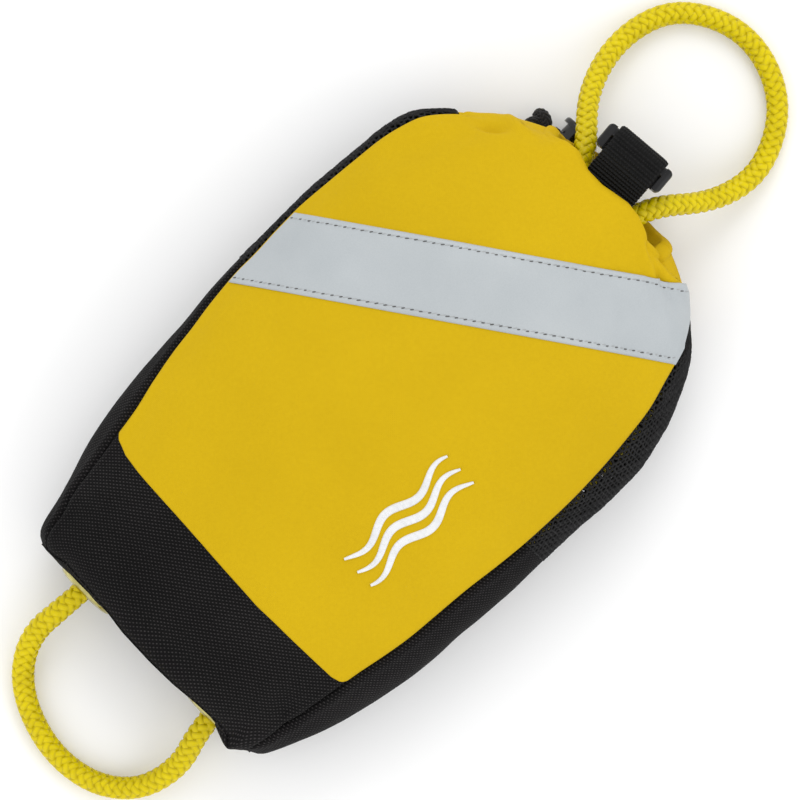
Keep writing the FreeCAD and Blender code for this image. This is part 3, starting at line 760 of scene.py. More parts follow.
def crease(x0, b0, along_deg, length, width, depth, ridge=0.45, side=1):
    """A groove of the given half length and width with a soft ridge on one side of it."""
    c, s = math.cos(math.radians(along_deg)), math.sin(math.radians(along_deg))
    dx, db = X - x0, B - b0
    u = dx * c + db * s
    v = (-dx * s + db * c) * side
    zone = np.exp(-(u / length) ** 2) * (shell[..., 2] > 26)
    beside = ridge * np.exp(-((v - 1.9 * width) / (1.3 * width)) ** 2)
    return depth * zone * (-np.exp(-(v / width) ** 2) + beside)


# folds where the mouth is drawn in, left and right, and soft waves running from them
for groove in (
        (-40.6, 197.0, 36, 5.0, 1.2, 3.0, 0.25), (-30.0, 196.0, 20, 16, 4.5, 1.2),
        (-50.0, 180.0, 62, 18, 4.0, 1.2), (29.6, 201.2, -25, 9.0, 1.3, 4.2, 0.3, -1),
        (35.5, 194.5, -48, 6.0, 2.4, 1.2, 0.3, -1), (40.0, 178.0, -62, 16, 4.5, 1.0, 0.4, -1),
        (10.0, 186.0, -22, 22, 6.0, 0.9), (-6.0, 170.0, 8, 26, 7.0, 0.6), (-25.0, 62.0, 12, 26, 6.0, 0.4),
        (20.0, 50.0, -8, 30, 7.0, 0.4), (44.0, 18.0, -50, 9, 3.0, 1.0), (-46.0, 16.0, 50, 9, 3.0, 0.8),
        (-8.0, 20.0, 4, 30, 6.0, 0.4)):
    disp += crease(*groove)

# sewn seams: a groove with a low ridge on each side
seams = [0, FRONT, LEFT_SEAM, RIGHT_SEAM]
seg = np.linalg.norm(np.roll(shell, -1, 1) - shell, axis=2)
run = np.concatenate([np.zeros((ROWS, 1)), np.cumsum(seg, axis=1)], axis=1)
total_run = run[:, -1:]
run = run[:, :-1]
for k, c in enumerate(seams):
    d = np.abs(run - run[:, c:c + 1])
    d = np.minimum(d, total_run - d)
    strength = 1.0 if k in (0, 1) else 0.7
    shape = -0.75 * np.exp(-(d / 0.9) ** 2) + 0.5 * np.exp(-((d - 2.4) / 1.5) ** 2)
    disp += strength * smoothstep(B, 1, 8) * (1 - smoothstep(B, 190, 199)) * shape
shell = shell + nrm * disp[..., None]
shell[..., 2] = np.maximum(shell[..., 2], 0.05)

# the hem lies over the drawcord that runs in it
near = (B > 195.0) & (B < 207.5) & (shell[..., 2] > 22)
cord = draw_line.p[::3] + np.array([0.0, Y0, 0.0])
here, out = shell[near], nrm[near]
gap = here[:, None] - cord[None]
pick_k = np.linalg.norm(gap, axis=2).argmin(axis=1)
gap = here - cord[pick_k]
up = (gap * out).sum(axis=1)
side = np.maximum((gap ** 2).sum(axis=1) - up ** 2, 0)
push = np.zeros(B.shape)
CORD_CLEAR = 2.9      # cloth's distance from the middle of the drawcord
push[near] = np.maximum(np.sqrt(np.maximum(CORD_CLEAR ** 2 - side, 0)) - up, 0) * (side < CORD_CLEAR ** 2)
soft = push.copy()
for _ in range(6):
    soft = (soft + np.roll(soft, 1, 1) + np.roll(soft, -1, 1)
            + np.roll(soft, 1, 0) + np.roll(soft, -1, 0)) / 5
shell += nrm * np.maximum(push, soft)[..., None]
nrm = normals(shell)


def pick(grid, v, u):
    """Bilinear lookup in a shell grid at fractional rows v and columns u (columns wrap)."""
    v = np.clip(v, 0, ROWS - 1.0001)
    i, j = np.floor(v).astype(int), np.floor(u).astype(int)
    fv, fu = (v - i)[..., None], (u - j)[..., None]
    j0, j1 = j % COLS, (j + 1) % COLS
    return ((grid[i, j0] * (1 - fu) + grid[i, j1] * fu) * (1 - fv)
            + (grid[i + 1, j0] * (1 - fu) + grid[i + 1, j1] * fu) * fv)


def panel(name, col_from, col_to, b_from, b_to, material, node_name, slot, detail=1, roll=False):
    """Cloth panel cut from the shell. b_from and b_to may vary with the column.

    roll carries the cloth round the corners of the mouth and over its edge.
    """
    thickness, edge_tuck = 0.9, 0.6
    cols = (col_to - col_from) * detail + 1
    u = np.linspace(col_from, col_to, cols)
    lo = b_from(u) if callable(b_from) else np.full(cols, float(b_from))
    hi = b_to(u) if callable(b_to) else np.full(cols, float(b_to))
    n_rows = max(3, int((hi.max() - lo.min()) / 1.2) * detail)
    t = np.linspace(0, 1, n_rows)[:, None]
    bb = lo[None, :] * (1 - t) + hi[None, :] * t
    v = row_at(bb)
    uu = np.zeros_like(v) + u[None, :]
    if roll:
        frac = (uu - col_from) / (col_to - col_from)
        uu += 13 * smoothstep(bb, 191.0, 198.0) * smoothstep(frac, 0.9, 1.0)
        uu -= 13 * smoothstep(bb, 199.5, 205.0) * (1 - smoothstep(frac, 0.0, 0.1))
    p = pick(shell, v, uu)
    nn = unit(pick(nrm, v, uu))
    if roll:
        over = roll_rows(p[-1], WALL + 0.4, 1.9)
        p = np.concatenate([p, over])
        step = p[-len(over) - 1:]
        along = np.gradient(step, axis=0)
        across = np.gradient(step, axis=1)
        extra = unit(np.cross(across, along))
        if (extra[0] * nn[-1]).sum() < 0:
            extra = -extra
        nn = np.concatenate([nn, extra[1:]])
        bb = np.concatenate([bb, bb[-1:] + np.arange(1, len(over) + 1)[:, None] * 0.8])
        n_rows += len(over)
    # the cut edges turn under into the seam
    edge = np.ones((n_rows, cols))
    edge[:, 0] = edge[:, -1] = smoothstep(bb[:, 0], 196.0, 200.0)
    outer = p - nn * (edge_tuck * (1 - edge))[..., None]
    inner = p - nn * (thickness + edge_tuck * 0.3)
    seglen = np.linalg.norm(np.diff(p, axis=1), axis=2)
    uvu = np.concatenate([np.zeros((n_rows, 1)), np.cumsum(seglen, axis=1)], axis=1)
    uvu -= uvu[:, cols // 2:cols // 2 + 1]
    uv = np.stack([uvu, bb], -1) * 0.01
    verts = np.concatenate([outer.reshape(-1, 3), inner.reshape(-1, 3)])
    base = n_rows * cols
    faces = [tuple(f) for f in grid_faces(n_rows, cols)]
    faces += [tuple(f) for f in grid_faces(n_rows, cols, start=base, flip=True)]
    for i in range(cols - 1):
        faces.append((i + 1, i, base + i, base + i + 1))
        j = (n_rows - 1) * cols + i
        faces.append((j, j + 1, base + j + 1, base + j))
    for i in range(0, base - cols, cols):
        k = i + cols - 1
        faces.append((i, i + cols, base + i + cols, base + i))
        faces.append((k + cols, k, base + k, base + k + cols))
    sewn(name, verts, faces, material, np.concatenate([uv.reshape(-1, 2)] * 2), slot, node_name)


seam_x = np.array([-58, -56.2, -53.5, -49, -42, -22, 14, 40, 47, 50.0, 51.6])
seam_b = np.array([48, 44.6, 41.6, 39.8, 39.0, 38.0, 35.9, 36.2, 36.3, 37.3, 39.6])


def front_seam(u):
    """Height of the seam between the yellow and the black front, at columns u."""
    i = int(row_at(37))
    x = np.interp(u, np.arange(FRONT + 1), shell[i, :FRONT + 1, 0])
    return np.interp(x, seam_x, seam_b)


ROLL_B = 208.4
WALL = 5.2
ring_mid = shell[int(row_at(ROLL_B))].mean(axis=0)


def inward_from(edge):
    """Unit vectors from points on the mouth's edge to its middle, across the bag."""
    return unit((ring_mid[None, :] - edge) * np.array([1.0, 0.0, 1.0]))


def roll_rows(last, wall, rise):
    """Rows that carry the cloth over the edge of the mouth and down its inner side."""
    inward = inward_from(last)
    rows_p = []
    for a in np.linspace(18, 180, 10):
        w = math.radians(a)
        off = inward * (wall / 2 * (1 - math.cos(w)))
        off[:, 1] += rise * math.sin(w)
        rows_p.append(last + off)
    return np.array(rows_p)


HEM_B = 196.0
KNIT_END = {"left": 191.5, "right": 201.0}
KNIT_B = 110.0        # where the gussets change from Cordura to knit
FOOT_B = 0.15         # lower edge of the Cordura
panel("front_cloth", 0, FRONT, front_seam, ROLL_B, yellow, "front_panel", "yellow_cloth", detail=2, roll=True)
panel("front_lower_cloth", 0, FRONT, FOOT_B, front_seam, black, "front_lower_panel", "black_cordura")
panel("gusset_left_cloth", FRONT, LEFT_SEAM, FOOT_B, KNIT_B, black, "gusset_lower_left", "black_cordura")
panel("gusset_right_cloth", RIGHT_SEAM, COLS, FOOT_B, KNIT_B, black, "gusset_lower_right", "black_cordura")
panel("back_cloth", LEFT_SEAM, RIGHT_SEAM, FOOT_B, HEM_B, black, "back_panel", "black_cordura")


# ---------------------------------------------------------------- hem of the mouth
def hem_cloth():
    """Gathered edge of the mouth: the sides and back outside, the roll over the edge and the
    face inside. The front cloth runs on to the roll in one piece."""
    u_all = np.arange(COLS)
    side_start = np.full(COLS, HEM_B)
    side_start[FRONT:LEFT_SEAM] = KNIT_END["left"]
    side_start[RIGHT_SEAM:] = KNIT_END["right"]
    t = np.linspace(0, 1, 12)[:, None]
    outer_b = side_start[None, :] * (1 - t) + ROLL_B * t
    v = row_at(outer_b)
    p = pick(shell, v, np.zeros_like(v) + u_all[None, :])
    last = p[-1]
    under = np.zeros(COLS)
    under[2:FRONT - 1] = 1.0
    inward = inward_from(last)
    last = last + inward * (under * 1.4)[:, None] - np.array([0.0, 1.0, 0.0]) * (under * 0.6)[:, None]
    rows_p = [last[None]] + [r[None] for r in roll_rows(last, WALL, 1.7)]
    inner = last + inward * WALL
    for k, db in enumerate(np.linspace(0.6, 14.0, 9)):
        q = inner + inward * 0.3 * math.sin(k)
        q[:, 1] -= db
        rows_p.append(q[None])
    g = np.concatenate(rows_p)
    ripple = np.sin(np.cumsum(1.0 + 0.6 * np.sin(u_all * 0.17)) * 0.42)[None, :]
    g[..., 1] += ripple * np.linspace(0, 1, len(g))[:, None] * 0.35
    rest = np.arange(FRONT, COLS + 1) % COLS
    p = p + (ring_mid[None, None, :] - p) * np.array([1.0, 0.0, 1.0]) * 0.022
    outer = p[:, rest]
    n_o, c_o = outer.shape[:2]
    verts = np.concatenate([g.reshape(-1, 3), outer.reshape(-1, 3)])
    faces = [grid_faces(len(g), COLS, closed=True), grid_faces(n_o, c_o, start=g[..., 0].size)]
    faces = np.concatenate(faces)

    def flat(grid, closed):
        step = np.diff(grid, axis=1, append=grid[:, :1] if closed else grid[:, -1:])
        across = np.cumsum(np.linalg.norm(step, axis=2), axis=1)
        down = np.r_[0, np.cumsum(np.linalg.norm(np.diff(grid, axis=0), axis=2).mean(axis=1))]
        return np.stack([across, down[:, None] + np.zeros_like(across)], -1).reshape(-1, 2)

    uv = np.concatenate([flat(g, True), flat(outer, False)]) * 0.01
    sewn("mouth_hem_cloth", verts, faces, yellow, uv, "yellow_cloth", "mouth_hem")
    return g


hem_grid = hem_cloth()


# ---------------------------------------------------------------- mesh gussets
def knit(name, col_from, col_to, b_from, b_to, node_name):
    """Coarse knit: a net of hexagonal cells with round strands, laid on the shell."""
    pitch = 1.75
    i_mid = int(row_at(150))
    middle = shell[i_mid, np.arange(col_from, col_to + 1) % COLS]
    width = np.linalg.norm(np.diff(middle, axis=0), axis=1).sum()
    nu = int(width / pitch)
    nv = int((b_to - b_from) / (pitch * 0.866))
    pts, faces, index = [], [], {}

    def vert(a, c):
        key = (round(a * 6), round(c * 6))
        if key not in index:
            index[key] = len(pts)
            pts.append((a, c))
        return index[key]

    for j in range(nv):
        for i in range(nu):
            cx = i + (0.5 if j % 2 else 0.0) + 0.5
            cy = j + 0.5
            f = []
            for k in range(6):
                t = math.radians(60 * k + 30)
                f.append(vert(cx + 0.57735 * math.cos(t), cy + 0.57735 * math.sin(t) / 0.866))
            faces.append(f)
    pts = np.array(pts)
    pts = pts + np.random.default_rng(21).normal(0, 0.085, pts.shape)
    u = col_from + np.clip(pts[:, 0] / nu, 0, 1) * (col_to - col_from)
    bb = b_from + np.clip(pts[:, 1] / nv, 0, 1) * (b_to - b_from)
    v = row_at(bb)
    p = pick(shell, v, u)
    n = unit(pick(nrm, v, u))
    p = p - n * (0.45 + 0.18 * np.sin(pts[:, 0:1] * 2.1 + pts[:, 1:2] * 1.7))
    o = make_mesh(name, row(p), faces, mesh_mat, np.stack([u * 0.5, bb], -1) * 0.01)
    w = o.modifiers.new("strands", "WIREFRAME")
    w.thickness = 1.22 * MM
    w.use_even_offset = False
    w.use_boundary = True
    w.use_replace = True
    on_bag(o, "black_mesh", node_name)


mesh_mat = yarn_material("mesh_knit_black", (0.0025, 0.0025, 0.0028), (0.017, 0.0165, 0.017), 0.6,
                         sheen=0.0, gloss=0.22)
knit("gusset_left_knit", FRONT, LEFT_SEAM, KNIT_B, KNIT_END["left"], "gusset_mesh_left")
knit("gusset_right_knit", RIGHT_SEAM, COLS, KNIT_B, KNIT_END["right"], "gusset_mesh_right")

# ---------------------------------------------------------------- surface lookup from above
tree = BVHTree.FromPolygons([tuple(v) for v in shell.reshape(-1, 3)],
                            [tuple(int(i) for i in f) for f in grid_faces(ROWS, COLS, closed=True)])


def drop(x, b, lift=0.0):
    """Point on the bag under (x, b) seen from above, raised by lift along the surface normal."""
    hit, normal, _, _ = tree.ray_cast(Vector((x, b, 200.0)), Vector((0, 0, -1)))
    if hit is None:
        return None, None
    if normal.z < 0:
        normal = -normal
    return np.array(hit) + np.array(normal) * lift, np.array(normal)


def seam_at(b, side):
    """x of the right (side 1) or left (side -1) front seam at distance b."""
    v = np.array([row_at(b)])
    return pick(shell, v, np.array([0.0 if side > 0 else float(FRONT)]))[0, 0]


# ---------------------------------------------------------------- reflective tape
# its lower left corner, and unit vectors along and across it
start = np.array([-64.9, 102.0])
t_dir = np.array([0.823, 0.568])
t_nor = np.array([-0.568, 0.823])
TAPE_W = 25.4
TAPE_ROWS = 23


def tape_span(w):
    """Where the line at height w across the tape meets the left and right front seams."""
    ends = []
    for side, guess in ((-1, -6.0), (1, 128.0)):
        t = guess
        for _ in range(14):
            q = start + t_dir * t + t_nor * w
            over = 0.7 * float(smoothstep(q[1], 194.0, 199.0)) * (side > 0)
            sx = seam_at(min(max(q[1], 2.0), 209.0), side) - side * 0.35 + over
            t += (sx - q[0]) / t_dir[0] * 0.8
        ends.append(t)
    return ends


def tape_rise(x, b):
    """The stiff tape bridges the pleats beside the mouth instead of following them."""
    return 0.5 * float(smoothstep(b, 184.0, 194.0)) * float(smoothstep(x, 8.0, 20.0))


def tape():
    """The tape, its long edges turned down; returns the heights of its top."""
    across = np.linspace(0, TAPE_W, TAPE_ROWS)
    n_t = 150
    g = np.zeros((len(across), n_t, 3))
    uv = np.zeros((len(across), n_t, 2))
    for i, w in enumerate(across):
        t0, t1 = tape_span(w)
        for j, t in enumerate(np.linspace(t0, t1, n_t)):
            q = start + t_dir * t + t_nor * w
            b = min(q[1], 208.6)
            p, _ = drop(q[0], b, 0.42 + tape_rise(q[0], b))
            g[i, j] = p if p is not None else g[i, j - 1]
            uv[i, j] = (t, w)
    stiff = smoothstep(g[..., 1], 182.0, 190.0) * smoothstep(g[..., 0], 5.0, 14.0)
    for reach, axis in ((7, 1), (3, 0), (7, 1), (3, 0)):
        z = np.moveaxis(g[..., 2], axis, 0)
        wide = np.pad(z, ((reach, reach), (0, 0)), mode="reflect", reflect_type="odd")
        level = sum(wide[k:k + len(z)] for k in range(2 * reach + 1)) / (2 * reach + 1)
        g[..., 2] += 0.85 * np.maximum(np.moveaxis(level, 0, axis) - g[..., 2], 0) * stiff
    top = g[..., 2].copy()
    edge_lo = g[0] - (g[1] - g[0]) * 0.1
    edge_hi = g[-1] + (g[-1] - g[-2]) * 0.1
    edge_lo[:, 2] -= 0.45
    edge_hi[:, 2] -= 0.45
    g = np.concatenate([edge_lo[None], g, edge_hi[None]])
    uv = np.concatenate([uv[:1], uv, uv[-1:]])
    sewn("reflective_tape_strip", g, grid_faces(len(g), n_t), tape_mat, uv * 0.01,
         "reflective", "reflective_tape")
    return top


tape_z = tape()


def tape_top(share, w):
    """Height of the tape at a share of its length and a distance across it."""
    at = w / TAPE_W * (TAPE_ROWS - 1)
    i, k = int(at), at - int(at)
    columns = np.arange(tape_z.shape[1])
    z0, z1 = [np.interp(share * columns[-1], columns, tape_z[n]) for n in (i, i + 1)]
    return z0 * (1 - k) + z1 * k


# a stitch's cross sections: share of its length and of its radius
CAPSULE = ((-0.5, 0.25), (-0.42, 0.75), (-0.2, 1.0), (0.2, 1.0), (0.42, 0.75), (0.5, 0.25))


def capsules(name, items, radius, material, *nodes):
    """Low stitches: each item is (point, direction, normal, length)."""
    verts, faces = [], []
    ring, flat = 8, 0.6
    for p, d, n, length in items:
        d = np.array(d) / np.linalg.norm(d)
        n = np.array(n) - d * (np.array(n) @ d)
        n /= np.linalg.norm(n)
        side = np.cross(d, n)
        base = len(verts)
        for k, (s, r) in enumerate(CAPSULE):
            sink = -0.25 if k in (0, 5) else 0.0
            for a in range(ring):
                t = 2 * math.pi * a / ring
                height = math.sin(t) * radius * r * flat + sink * radius * 2
                verts.append(p + d * s * length + side * math.cos(t) * radius * r + n * height)
        for k in range(len(CAPSULE) - 1):
            for a in range(ring):
                b_ = (a + 1) % ring
                low = base + k * ring
                faces.append((low + a, low + b_, low + ring + b_, low + ring + a))
        faces.append(tuple(base + a for a in range(ring))[::-1])
        faces.append(tuple(base + 5 * ring + a for a in range(ring)))
    sewn(name, np.array(verts), faces, material, np.zeros((len(verts), 2)), "dark_thread", *nodes)


def tape_threads():
    """Dark stitches along both edges of the tape, with the paler thread that sinks in between them."""
    dark, line_items = [], []
    for w in (1.7, TAPE_W - 1.7):
        t0, t1 = tape_span(w)
        t = t0 + 0.8
        while t < t1 - 0.8:
            q = start + t_dir * t + t_nor * w
            if q[1] > 208.0:
                break
            p, n = drop(q[0], q[1], 0.50 + tape_rise(*q))
            if p is not None:
                p[2] = max(p[2], tape_top((t - t0) / (t1 - t0), w) + 0.06)
                wob = rng.normal(0, 0.05)
                across = np.array([t_nor[0], t_nor[1], 0])
                d = np.array([t_dir[0], t_dir[1], 0]) + across * (0.22 + rng.normal(0, 0.06))
                dark.append((p + across * wob, d, n, 1.25 + rng.normal(0, 0.12)))
                q2 = q + t_dir * 1.5 + t_nor * 0.12
                p2, n2 = drop(q2[0], min(q2[1], 208.5), 0.44 + tape_rise(*q2))
                if p2 is not None:
                    p2[2] = max(p2[2], tape_top(min(1.0, (t + 1.5 - t0) / (t1 - t0)), w) + 0.01)
                    line_items.append((p2, d, n2, 1.9))
            t += 2.85
    capsules("tape_stitches", dark, 0.21, thread_dark, "tape_stitching")
    capsules("tape_thread", line_items, 0.13, thread_grey)


tape_threads()


# ---------------------------------------------------------------- embroidered waves
def emblem():
    """Three waves in satin stitch, raised, with the stitches' ribs across them."""
    verts, faces, uvs = [], [], []
    cx, cb = 29.0, 89.0
    n_t, n_w = 220, 9
    for k in (-1, 0, 1):
        base = len(verts)
        t = np.linspace(0, 1, n_t)
        b = cb - 23 + 46 * t
        x = cx + 5.0 * k + 1.8 * np.sin(4 * math.pi * t + 0.5 * k)
        half = 1.45 * np.sin(math.pi * (t * 0.94 + 0.03)) ** 0.55 + 0.05
        dx = np.gradient(x)
        db = np.gradient(b)
        ln = np.hypot(dx, db)
        nx, nb = db / ln, -dx / ln
        s = np.r_[0, np.cumsum(np.hypot(np.diff(x), np.diff(b)))]
        for i in range(n_t):
            for w in np.linspace(-1, 1, n_w):
                px, pb = x[i] + nx[i] * half[i] * w, b[i] + nb[i] * half[i] * w
                crown = 0.62 * math.sqrt(max(0.0, 1 - abs(w) ** 2.4)) + 0.05
                stitch = 0.07 * math.sin(s[i] * 2 * math.pi / 0.42) * (1 - w * w)
                p, _ = drop(px, pb, crown + stitch - (0.35 if abs(w) == 1 else 0))
                verts.append(p)
                uvs.append((s[i], w * half[i]))
        faces += [tuple(f) for f in grid_faces(n_t, n_w, start=base)]
    sewn("emblem_embroidery", np.array(verts), faces, thread_white, np.array(uvs) * 0.01,
         "white_thread", "emblem")


emblem()


# ---------------------------------------------------------------- bottom panel
GROMMET_X, GROMMET_Z = 28.0, 19.5


def from_grommet(p):
    """Distance to the axis of the nearer grommet."""
    return np.hypot(np.abs(p[..., 0]) - GROMMET_X, p[..., 2] - GROMMET_Z)


def bottom():
    """Bottom panel, hollow round the grommets and puckered where they are set."""
    ring = pick(shell, np.full(COLS, row_at(0.2)), np.arange(COLS).astype(float))
    mid = np.array([(ring[:, 0].max() + ring[:, 0].min()) / 2, 0, GROMMET_Z])
    scale = np.r_[1.0, 0.985, 0.965, 0.94, np.linspace(0.91, 0.0, 28)]
    drop_b = np.r_[0.0, -0.05, -0.08, -0.10, np.full(28, -0.10)]
    g = mid + (ring - mid) * scale[:, None, None]
    rim = smoothstep(scale, 0.70, 1.0)[:, None]
    g[..., 1] = 0.12 * (1 - rim) + (ring[:, 1] + drop_b[:, None]) * rim
    dist = from_grommet(g)
    hollow = smoothstep(dist, 11.5, 22.0)
    g[..., 1] += hollow * 1.6 * smoothstep(1.0 - scale, 0.1, 0.5)[:, None]
    ang = np.arctan2(g[..., 2] - GROMMET_Z, np.abs(g[..., 0]) - GROMMET_X)
    pull = smoothstep(dist, 10.0, 14.0) * (1 - smoothstep(dist, 15.0, 24.0))
    g[..., 1] += 0.30 * np.sin(ang * 9.0) * pull * smoothstep(1.0 - scale, 0.02, 0.2)[:, None]
    # all rings but the last, which is a point that the innermost faces meet in
    points = g.reshape(-1, 3)[:1 - COLS]
    faces = grid_faces(len(g) - 1, COLS, closed=True)
    hole = from_grommet(points[faces].mean(axis=1)) < 6.6
    inner = np.arange(COLS) + (len(g) - 2) * COLS
    fan = [(a, b, len(points) - 1) for a, b in zip(inner, np.roll(inner, -1))]
    o = sewn("bottom_cloth", points, [*faces[~hole], *fan], black, points[:, [0, 2]] * 0.01,
             "black_cordura", "bottom_panel")
    m = o.modifiers.new("cloth", "SOLIDIFY")
    m.thickness = 0.8 * MM
    m.offset = 0


bottom()

# ---------------------------------------------------------------- webbing tab
TAB_X, ROOT_B, LEAN = -0.6, 209.0, math.radians(5.0)
BAR_B, BAR_Z, FOLD = 223.6, 37.0, 2.15
RIB = 1.28            # pitch of the webbing's ribs


def lean(p):
    """The tab is sewn in a little askew."""
    p = np.array(p, float)
    dx, db = p[..., 0] - TAB_X, p[..., 1] - ROOT_B
    x = TAB_X + dx * math.cos(LEAN) - db * math.sin(LEAN)
    b = ROOT_B + dx * math.sin(LEAN) + db * math.cos(LEAN)
    return np.stack([x, b, p[..., 2]], -1)


def webbing():
    """Ribbed strap: out of the mouth, round the web bar of the buckle and back in."""
    t = 1.6
    r = FOLD + t / 2
    inside = 36.2
    path = [(197.0, inside - t / 2), (203.0, inside - t / 2), (208.5, inside - t / 2 + 0.1),
            (212.5, inside + 0.9), (216.6, BAR_Z + r - 0.4), (219.8, BAR_Z + r)]
    for a in np.linspace(75, -75, 13):
        path.append((BAR_B + r * math.cos(math.radians(a)), BAR_Z + r * math.sin(math.radians(a))))
    path += [(219.8, BAR_Z - r + 0.1), (215.8, BAR_Z - r + 0.3), (212.0, inside - 1.5 * t - 0.1),
             (207.0, inside - 1.5 * t), (197.0, inside - 1.5 * t)]
    path = np.array(path)
    s = np.r_[0, np.cumsum(np.hypot(*np.diff(path, axis=0).T))]
    n = 420
    ss = np.linspace(0, s[-1], n)
    q = np.stack([np.interp(ss, s, path[:, 0]), np.interp(ss, s, path[:, 1])], -1)
    k = np.ones(9) / 9
    for c in range(2):
        q[4:-4, c] = np.convolve(q[:, c], k, "valid")
    d = unit(np.gradient(q, axis=0))
    nn = np.stack([-d[:, 1], d[:, 0]], -1)
    cols = 112
    w = np.linspace(-1, 1, cols)
    rib = np.abs(np.sin(math.pi * ss / RIB))
    row_i = np.floor(ss / RIB)
    xs = w * 9.5
    sway = 0.6 * np.sin(math.pi * ss / RIB)[:, None] * np.cos(math.pi * ss / RIB)[:, None]
    twist = 0.5 + 0.5 * np.sin(2 * math.pi * xs[None, :] / 0.86 + row_i[:, None] * math.pi + sway)
    edge = np.sqrt(np.clip(1 - np.abs(w) ** 14, 0.02, 1))[None, :]
    h = (t / 2 - 0.42) * edge + (0.62 * rib[:, None] ** 0.8 * (0.40 + 0.60 * twist)) * edge
    width = 1.0 + 0.012 * np.sin(ss * 2 * math.pi / RIB)
    top = np.zeros((n, cols, 3))
    bot = np.zeros((n, cols, 3))
    for g, sign in ((top, 1), (bot, -1)):
        g[..., 0] = TAB_X + xs[None, :] * width[:, None]
        g[..., 1] = q[:, None, 0] + sign * nn[:, None, 0] * h
        g[..., 2] = q[:, None, 1] + sign * nn[:, None, 1] * h
    ring = np.concatenate([top, bot[:, ::-1]], axis=1)
    uv = np.stack([ring[..., 0], ss[:, None] + np.zeros(ring.shape[:2])], -1) * 0.01
    sewn("webbing_tab_strip", lean(ring), tube_faces(n, 2 * cols), webbing_mat, uv,
         "webbing_black", "webbing_tab")


webbing_mat = fabric_material("webbing_black", (0.0012, 0.0012, 0.0012), (0.0085, 0.0084, 0.0084),
                              (0.86, RIB), 0.05, 0.55, 0.0, gloss=0.16, weave_tone_and_shade=0.30)
webbing()


# ---------------------------------------------------------------- knots
def knot_line(centre, size):
    """Overhand knot: a trefoil that starts and ends at the tail."""
    t = np.linspace(0.35, 2 * math.pi - 0.1, 220)
    x = np.sin(t) + 2 * np.sin(2 * t)
    y = np.cos(t) - 2 * np.cos(2 * t)
    z = -np.sin(3 * t) * 1.1
    p = np.stack([z * 1.3, x * 0.88, y * 0.88], -1) / 3.0 * size
    return Line(p + np.array(centre) - np.array([0.0, Y0, 0.0]), step=0.3)


knot = braid_mesh("drawcord_knot_braid", knot_line((-31.3, 207.9, 7.4), 4.5), 4.0, **FINE_BRAID)
on_bag(knot, "cord_black", "drawcord_knot")

for i, x in enumerate((-GROMMET_X, GROMMET_X)):
    k = braid_mesh("handle_knot_%d" % i, knot_line((x, 17.5, GROMMET_Z), 5.0), 5.8,
                   material=rope_mat, step=0.8)
    on_bag(k, "rope_yellow", *(["rope_handle_knots"] if i == 0 else []))


# ---------------------------------------------------------------- stuffed rope
def stuffed_route():
    """One rope laid in uneven runs that fill the inside of the bag from the bottom to the mouth."""
    pts = []
    pitch = 6.9
    layers = np.arange(28.0, 184.0, pitch)
    for i, b in enumerate(layers):
        left, right, low, high, *_ = [float(v) for v in station(b)]
        lo, hi = low + 6.0, high - 7.0
        if 36 < b < 148:
            lo = max(lo, 12.5)
        zs = np.arange(lo, hi, 6.9)
        if i % 2:
            zs = zs[::-1]
        zc = low + 0.45 * (high - low)
        for j, z in enumerate(zs):
            k = (z - zc) / ((high - zc) if z > zc else (zc - low) * 1.25)
            half = math.sqrt(max(0.05, 1 - abs(k) ** 2.4))
            xl, xr = -(left - 7.5) * half, (right - 7.5) * half
            xs = np.linspace(xl, xr, 5)
            if (i + j) % 2:
                xs = xs[::-1]
            for m, x in enumerate(xs):
                jb = rng.normal(0, 0.7) if 0 < m < 4 else rng.normal(0, 0.3)
                jz = rng.normal(0, 0.7) if 0 < m < 4 else rng.normal(0, 0.3)
                pts.append((x, b + jb, z + jz))
    out = []
    for x, b, z in pts:
        near = tree.find_nearest(Vector((x, b, z)))[0]
        inward = Vector((0.0, 0.0, 27.0)) - Vector((near.x, 0.0, near.z))
        inward.normalize()
        q = Vector((x, b, z))
        for _ in range(12):
            near, _, _, dist = tree.find_nearest(q)
            if dist >= 5.2:
                break
            q += inward * (5.4 - dist)
        out.append(tuple(q))
    return out


route = stuffed_route()
stuffed_line = Line(line_of("stuffed_line", route, resolution=6), step=1.2)
print("stuffed rope length m", round(stuffed_line.length / 1000, 2), "points", len(route))
stuffed = tube_mesh("stuffed_rope", stuffed_line, ROPE / 2, sides=9, step=2.2)


def rope_shaded_material():
    """The same braid as the loops, drawn in the surface of a plain tube; painted shade makes it darker all
    over than the loops, for lying inside the bag, and darker still in the troughs between strands.
    """
    m, nt, bsdf = new_material("rope_braid_surface")
    u, v = phases(nt, coords(nt, "UV"), 2.5, 3.2)
    p = math_node(nt, "SINE", math_node(nt, "ADD", u, v))
    q = math_node(nt, "SINE", math_node(nt, "SUBTRACT", u, v))
    h = math_node(nt, "MAXIMUM", p, q)
    # painted shade: darker than the loop rope all over, and darkest in the troughs of the braid
    stops = [(0.0, (0.28, 0.21, 0.001)), (0.6, (0.50, 0.40, 0.004))]
    nt.links.new(ramp(nt, h, stops), bsdf.inputs["Base Color"])
    bsdf.inputs["Roughness"].default_value = 0.42
    bump(nt, bsdf, [(h, 0.4 * MM, 0.8)])
    return m


stuffed.data.materials.append(rope_shaded_material())
on_bag(stuffed, "rope_yellow", "rope_stuffed")


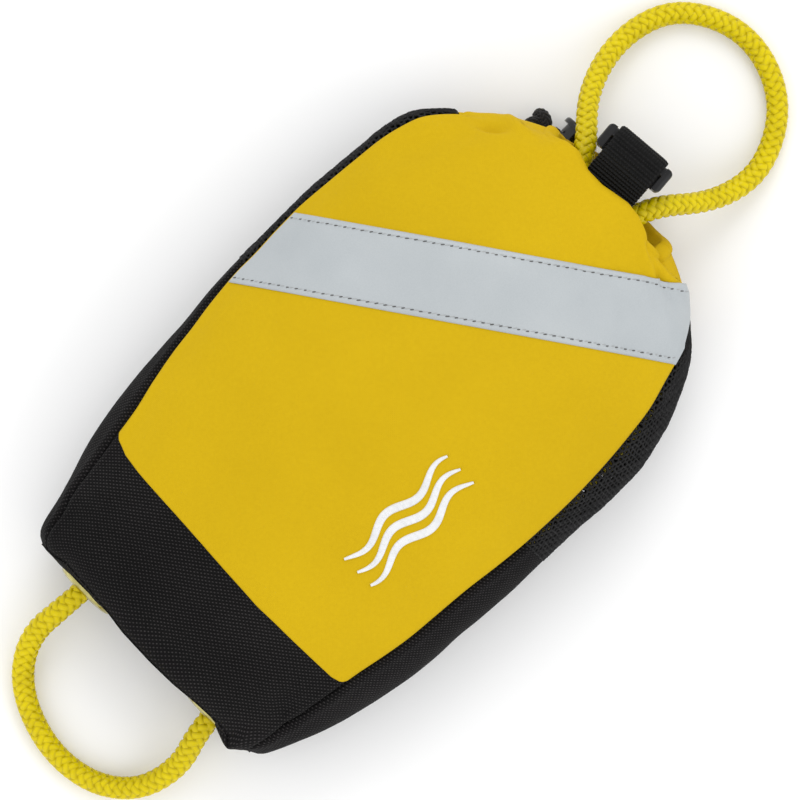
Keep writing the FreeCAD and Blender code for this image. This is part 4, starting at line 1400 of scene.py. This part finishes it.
# ---------------------------------------------------------------- small thread work
def hem_threads():
    """Stitch line of the drawcord tunnel; it shows where the inner side of the mouth turns out."""
    items = []
    for c in range(0, COLS, 2):
        p0, p1 = hem_grid[17, c], hem_grid[17, (c + 1) % COLS]
        n = hem_grid[17].mean(axis=0) - p0
        n[1] = 0
        items.append((p0 + n / np.linalg.norm(n) * 0.15, p1 - p0, n, 1.5))
    for (x0, b0), (x1, b1) in (((-13.4, 211.4), (-11.6, 208.6)), ((18.6, 207.3), (22.4, 206.6))):
        for t in np.arange(0.08, 1.0, 0.36 if x0 < 0 else 0.4):
            p, n = drop(x0 + (x1 - x0) * t, b0 + (b1 - b0) * t, 0.15)
            if p is not None:
                items.append((p, (x1 - x0, b1 - b0, 0), n, 0.9))
    capsules("hem_stitches", items, 0.2, thread_black, "hem_stitching")


hem_threads()


def bartacks():
    """Two bar tacks that sew the ends of the webbing to the front panel."""
    items = []
    for b in (199.8, 206.2):
        for x in np.arange(-7.0, 7.1, 0.55):
            p = lean((TAB_X + x, b, 32.75))
            items.append((p, (0.25, 1, 0), (0, 0, -1), 1.6))
    capsules("tab_bartack_threads", items, 0.24, thread_black, "tab_bartacks")


bartacks()

# ---------------------------------------------------------------- CAD nodes that stay
keep = {
    "grommets": brass, "grommet_washers": brass, "cord_lock_body": lock_mat, "cord_lock_button": lock_mat,
    "cord_lock_spring": steel, "buckle_frame": buckle_mat, "buckle_prong_left": buckle_mat,
    "buckle_prong_right": buckle_mat, "foam_float": foam_mat,
}
for name, m in keep.items():
    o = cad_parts[name]
    for s in o.material_slots:
        s.material = m
    if name.startswith(("buckle", "cord_lock_b")):
        bv = o.modifiers.new("edges", "BEVEL")
        bv.width = (0.25 if name.startswith("buckle") else 0.7) * MM
        bv.segments = 3
        bv.limit_method = "ANGLE"
        bv.angle_limit = math.radians(35)

# ---------------------------------------------------------------- stage and light
floor_mat, nt, bsdf = new_material("floor_pale")
bsdf.inputs["Base Color"].default_value = (0.93, 0.93, 0.93, 1)
bsdf.inputs["Roughness"].default_value = 0.8
FLOOR = 6.0           # half the side of the floor, metres
floor = make_mesh("floor", [(-FLOOR, -FLOOR, 0), (FLOOR, -FLOOR, 0), (FLOOR, FLOOR, 0), (-FLOOR, FLOOR, 0)],
                  [(0, 1, 2, 3)], floor_mat, smooth=False)

world = bpy.data.worlds.new("studio")
scene.world = world
world.use_nodes = True
world.node_tree.nodes["Background"].inputs[0].default_value = (1, 1, 1, 1)
world.node_tree.nodes["Background"].inputs[1].default_value = 1.05


def area(name, location, size, energy, target=(0, 0, 0.02)):
    """Round soft box that faces the bag."""
    data = bpy.data.lights.new(name, "AREA")
    data.shape = "DISK"
    data.size = size
    data.energy = energy
    o = bpy.data.objects.new(name, data)
    scene.collection.objects.link(o)
    o.location = location
    o.rotation_euler = (Vector(target) - Vector(location)).to_track_quat("-Z", "Y").to_euler()


area("key", (-0.75, 0.95, 1.15), 0.9, 5.2)
area("fill", (1.1, 0.3, 0.9), 1.2, 3.0)
area("rim", (0.1, -1.2, 0.8), 0.8, 2.0)
scene.view_settings.view_transform = "Standard"
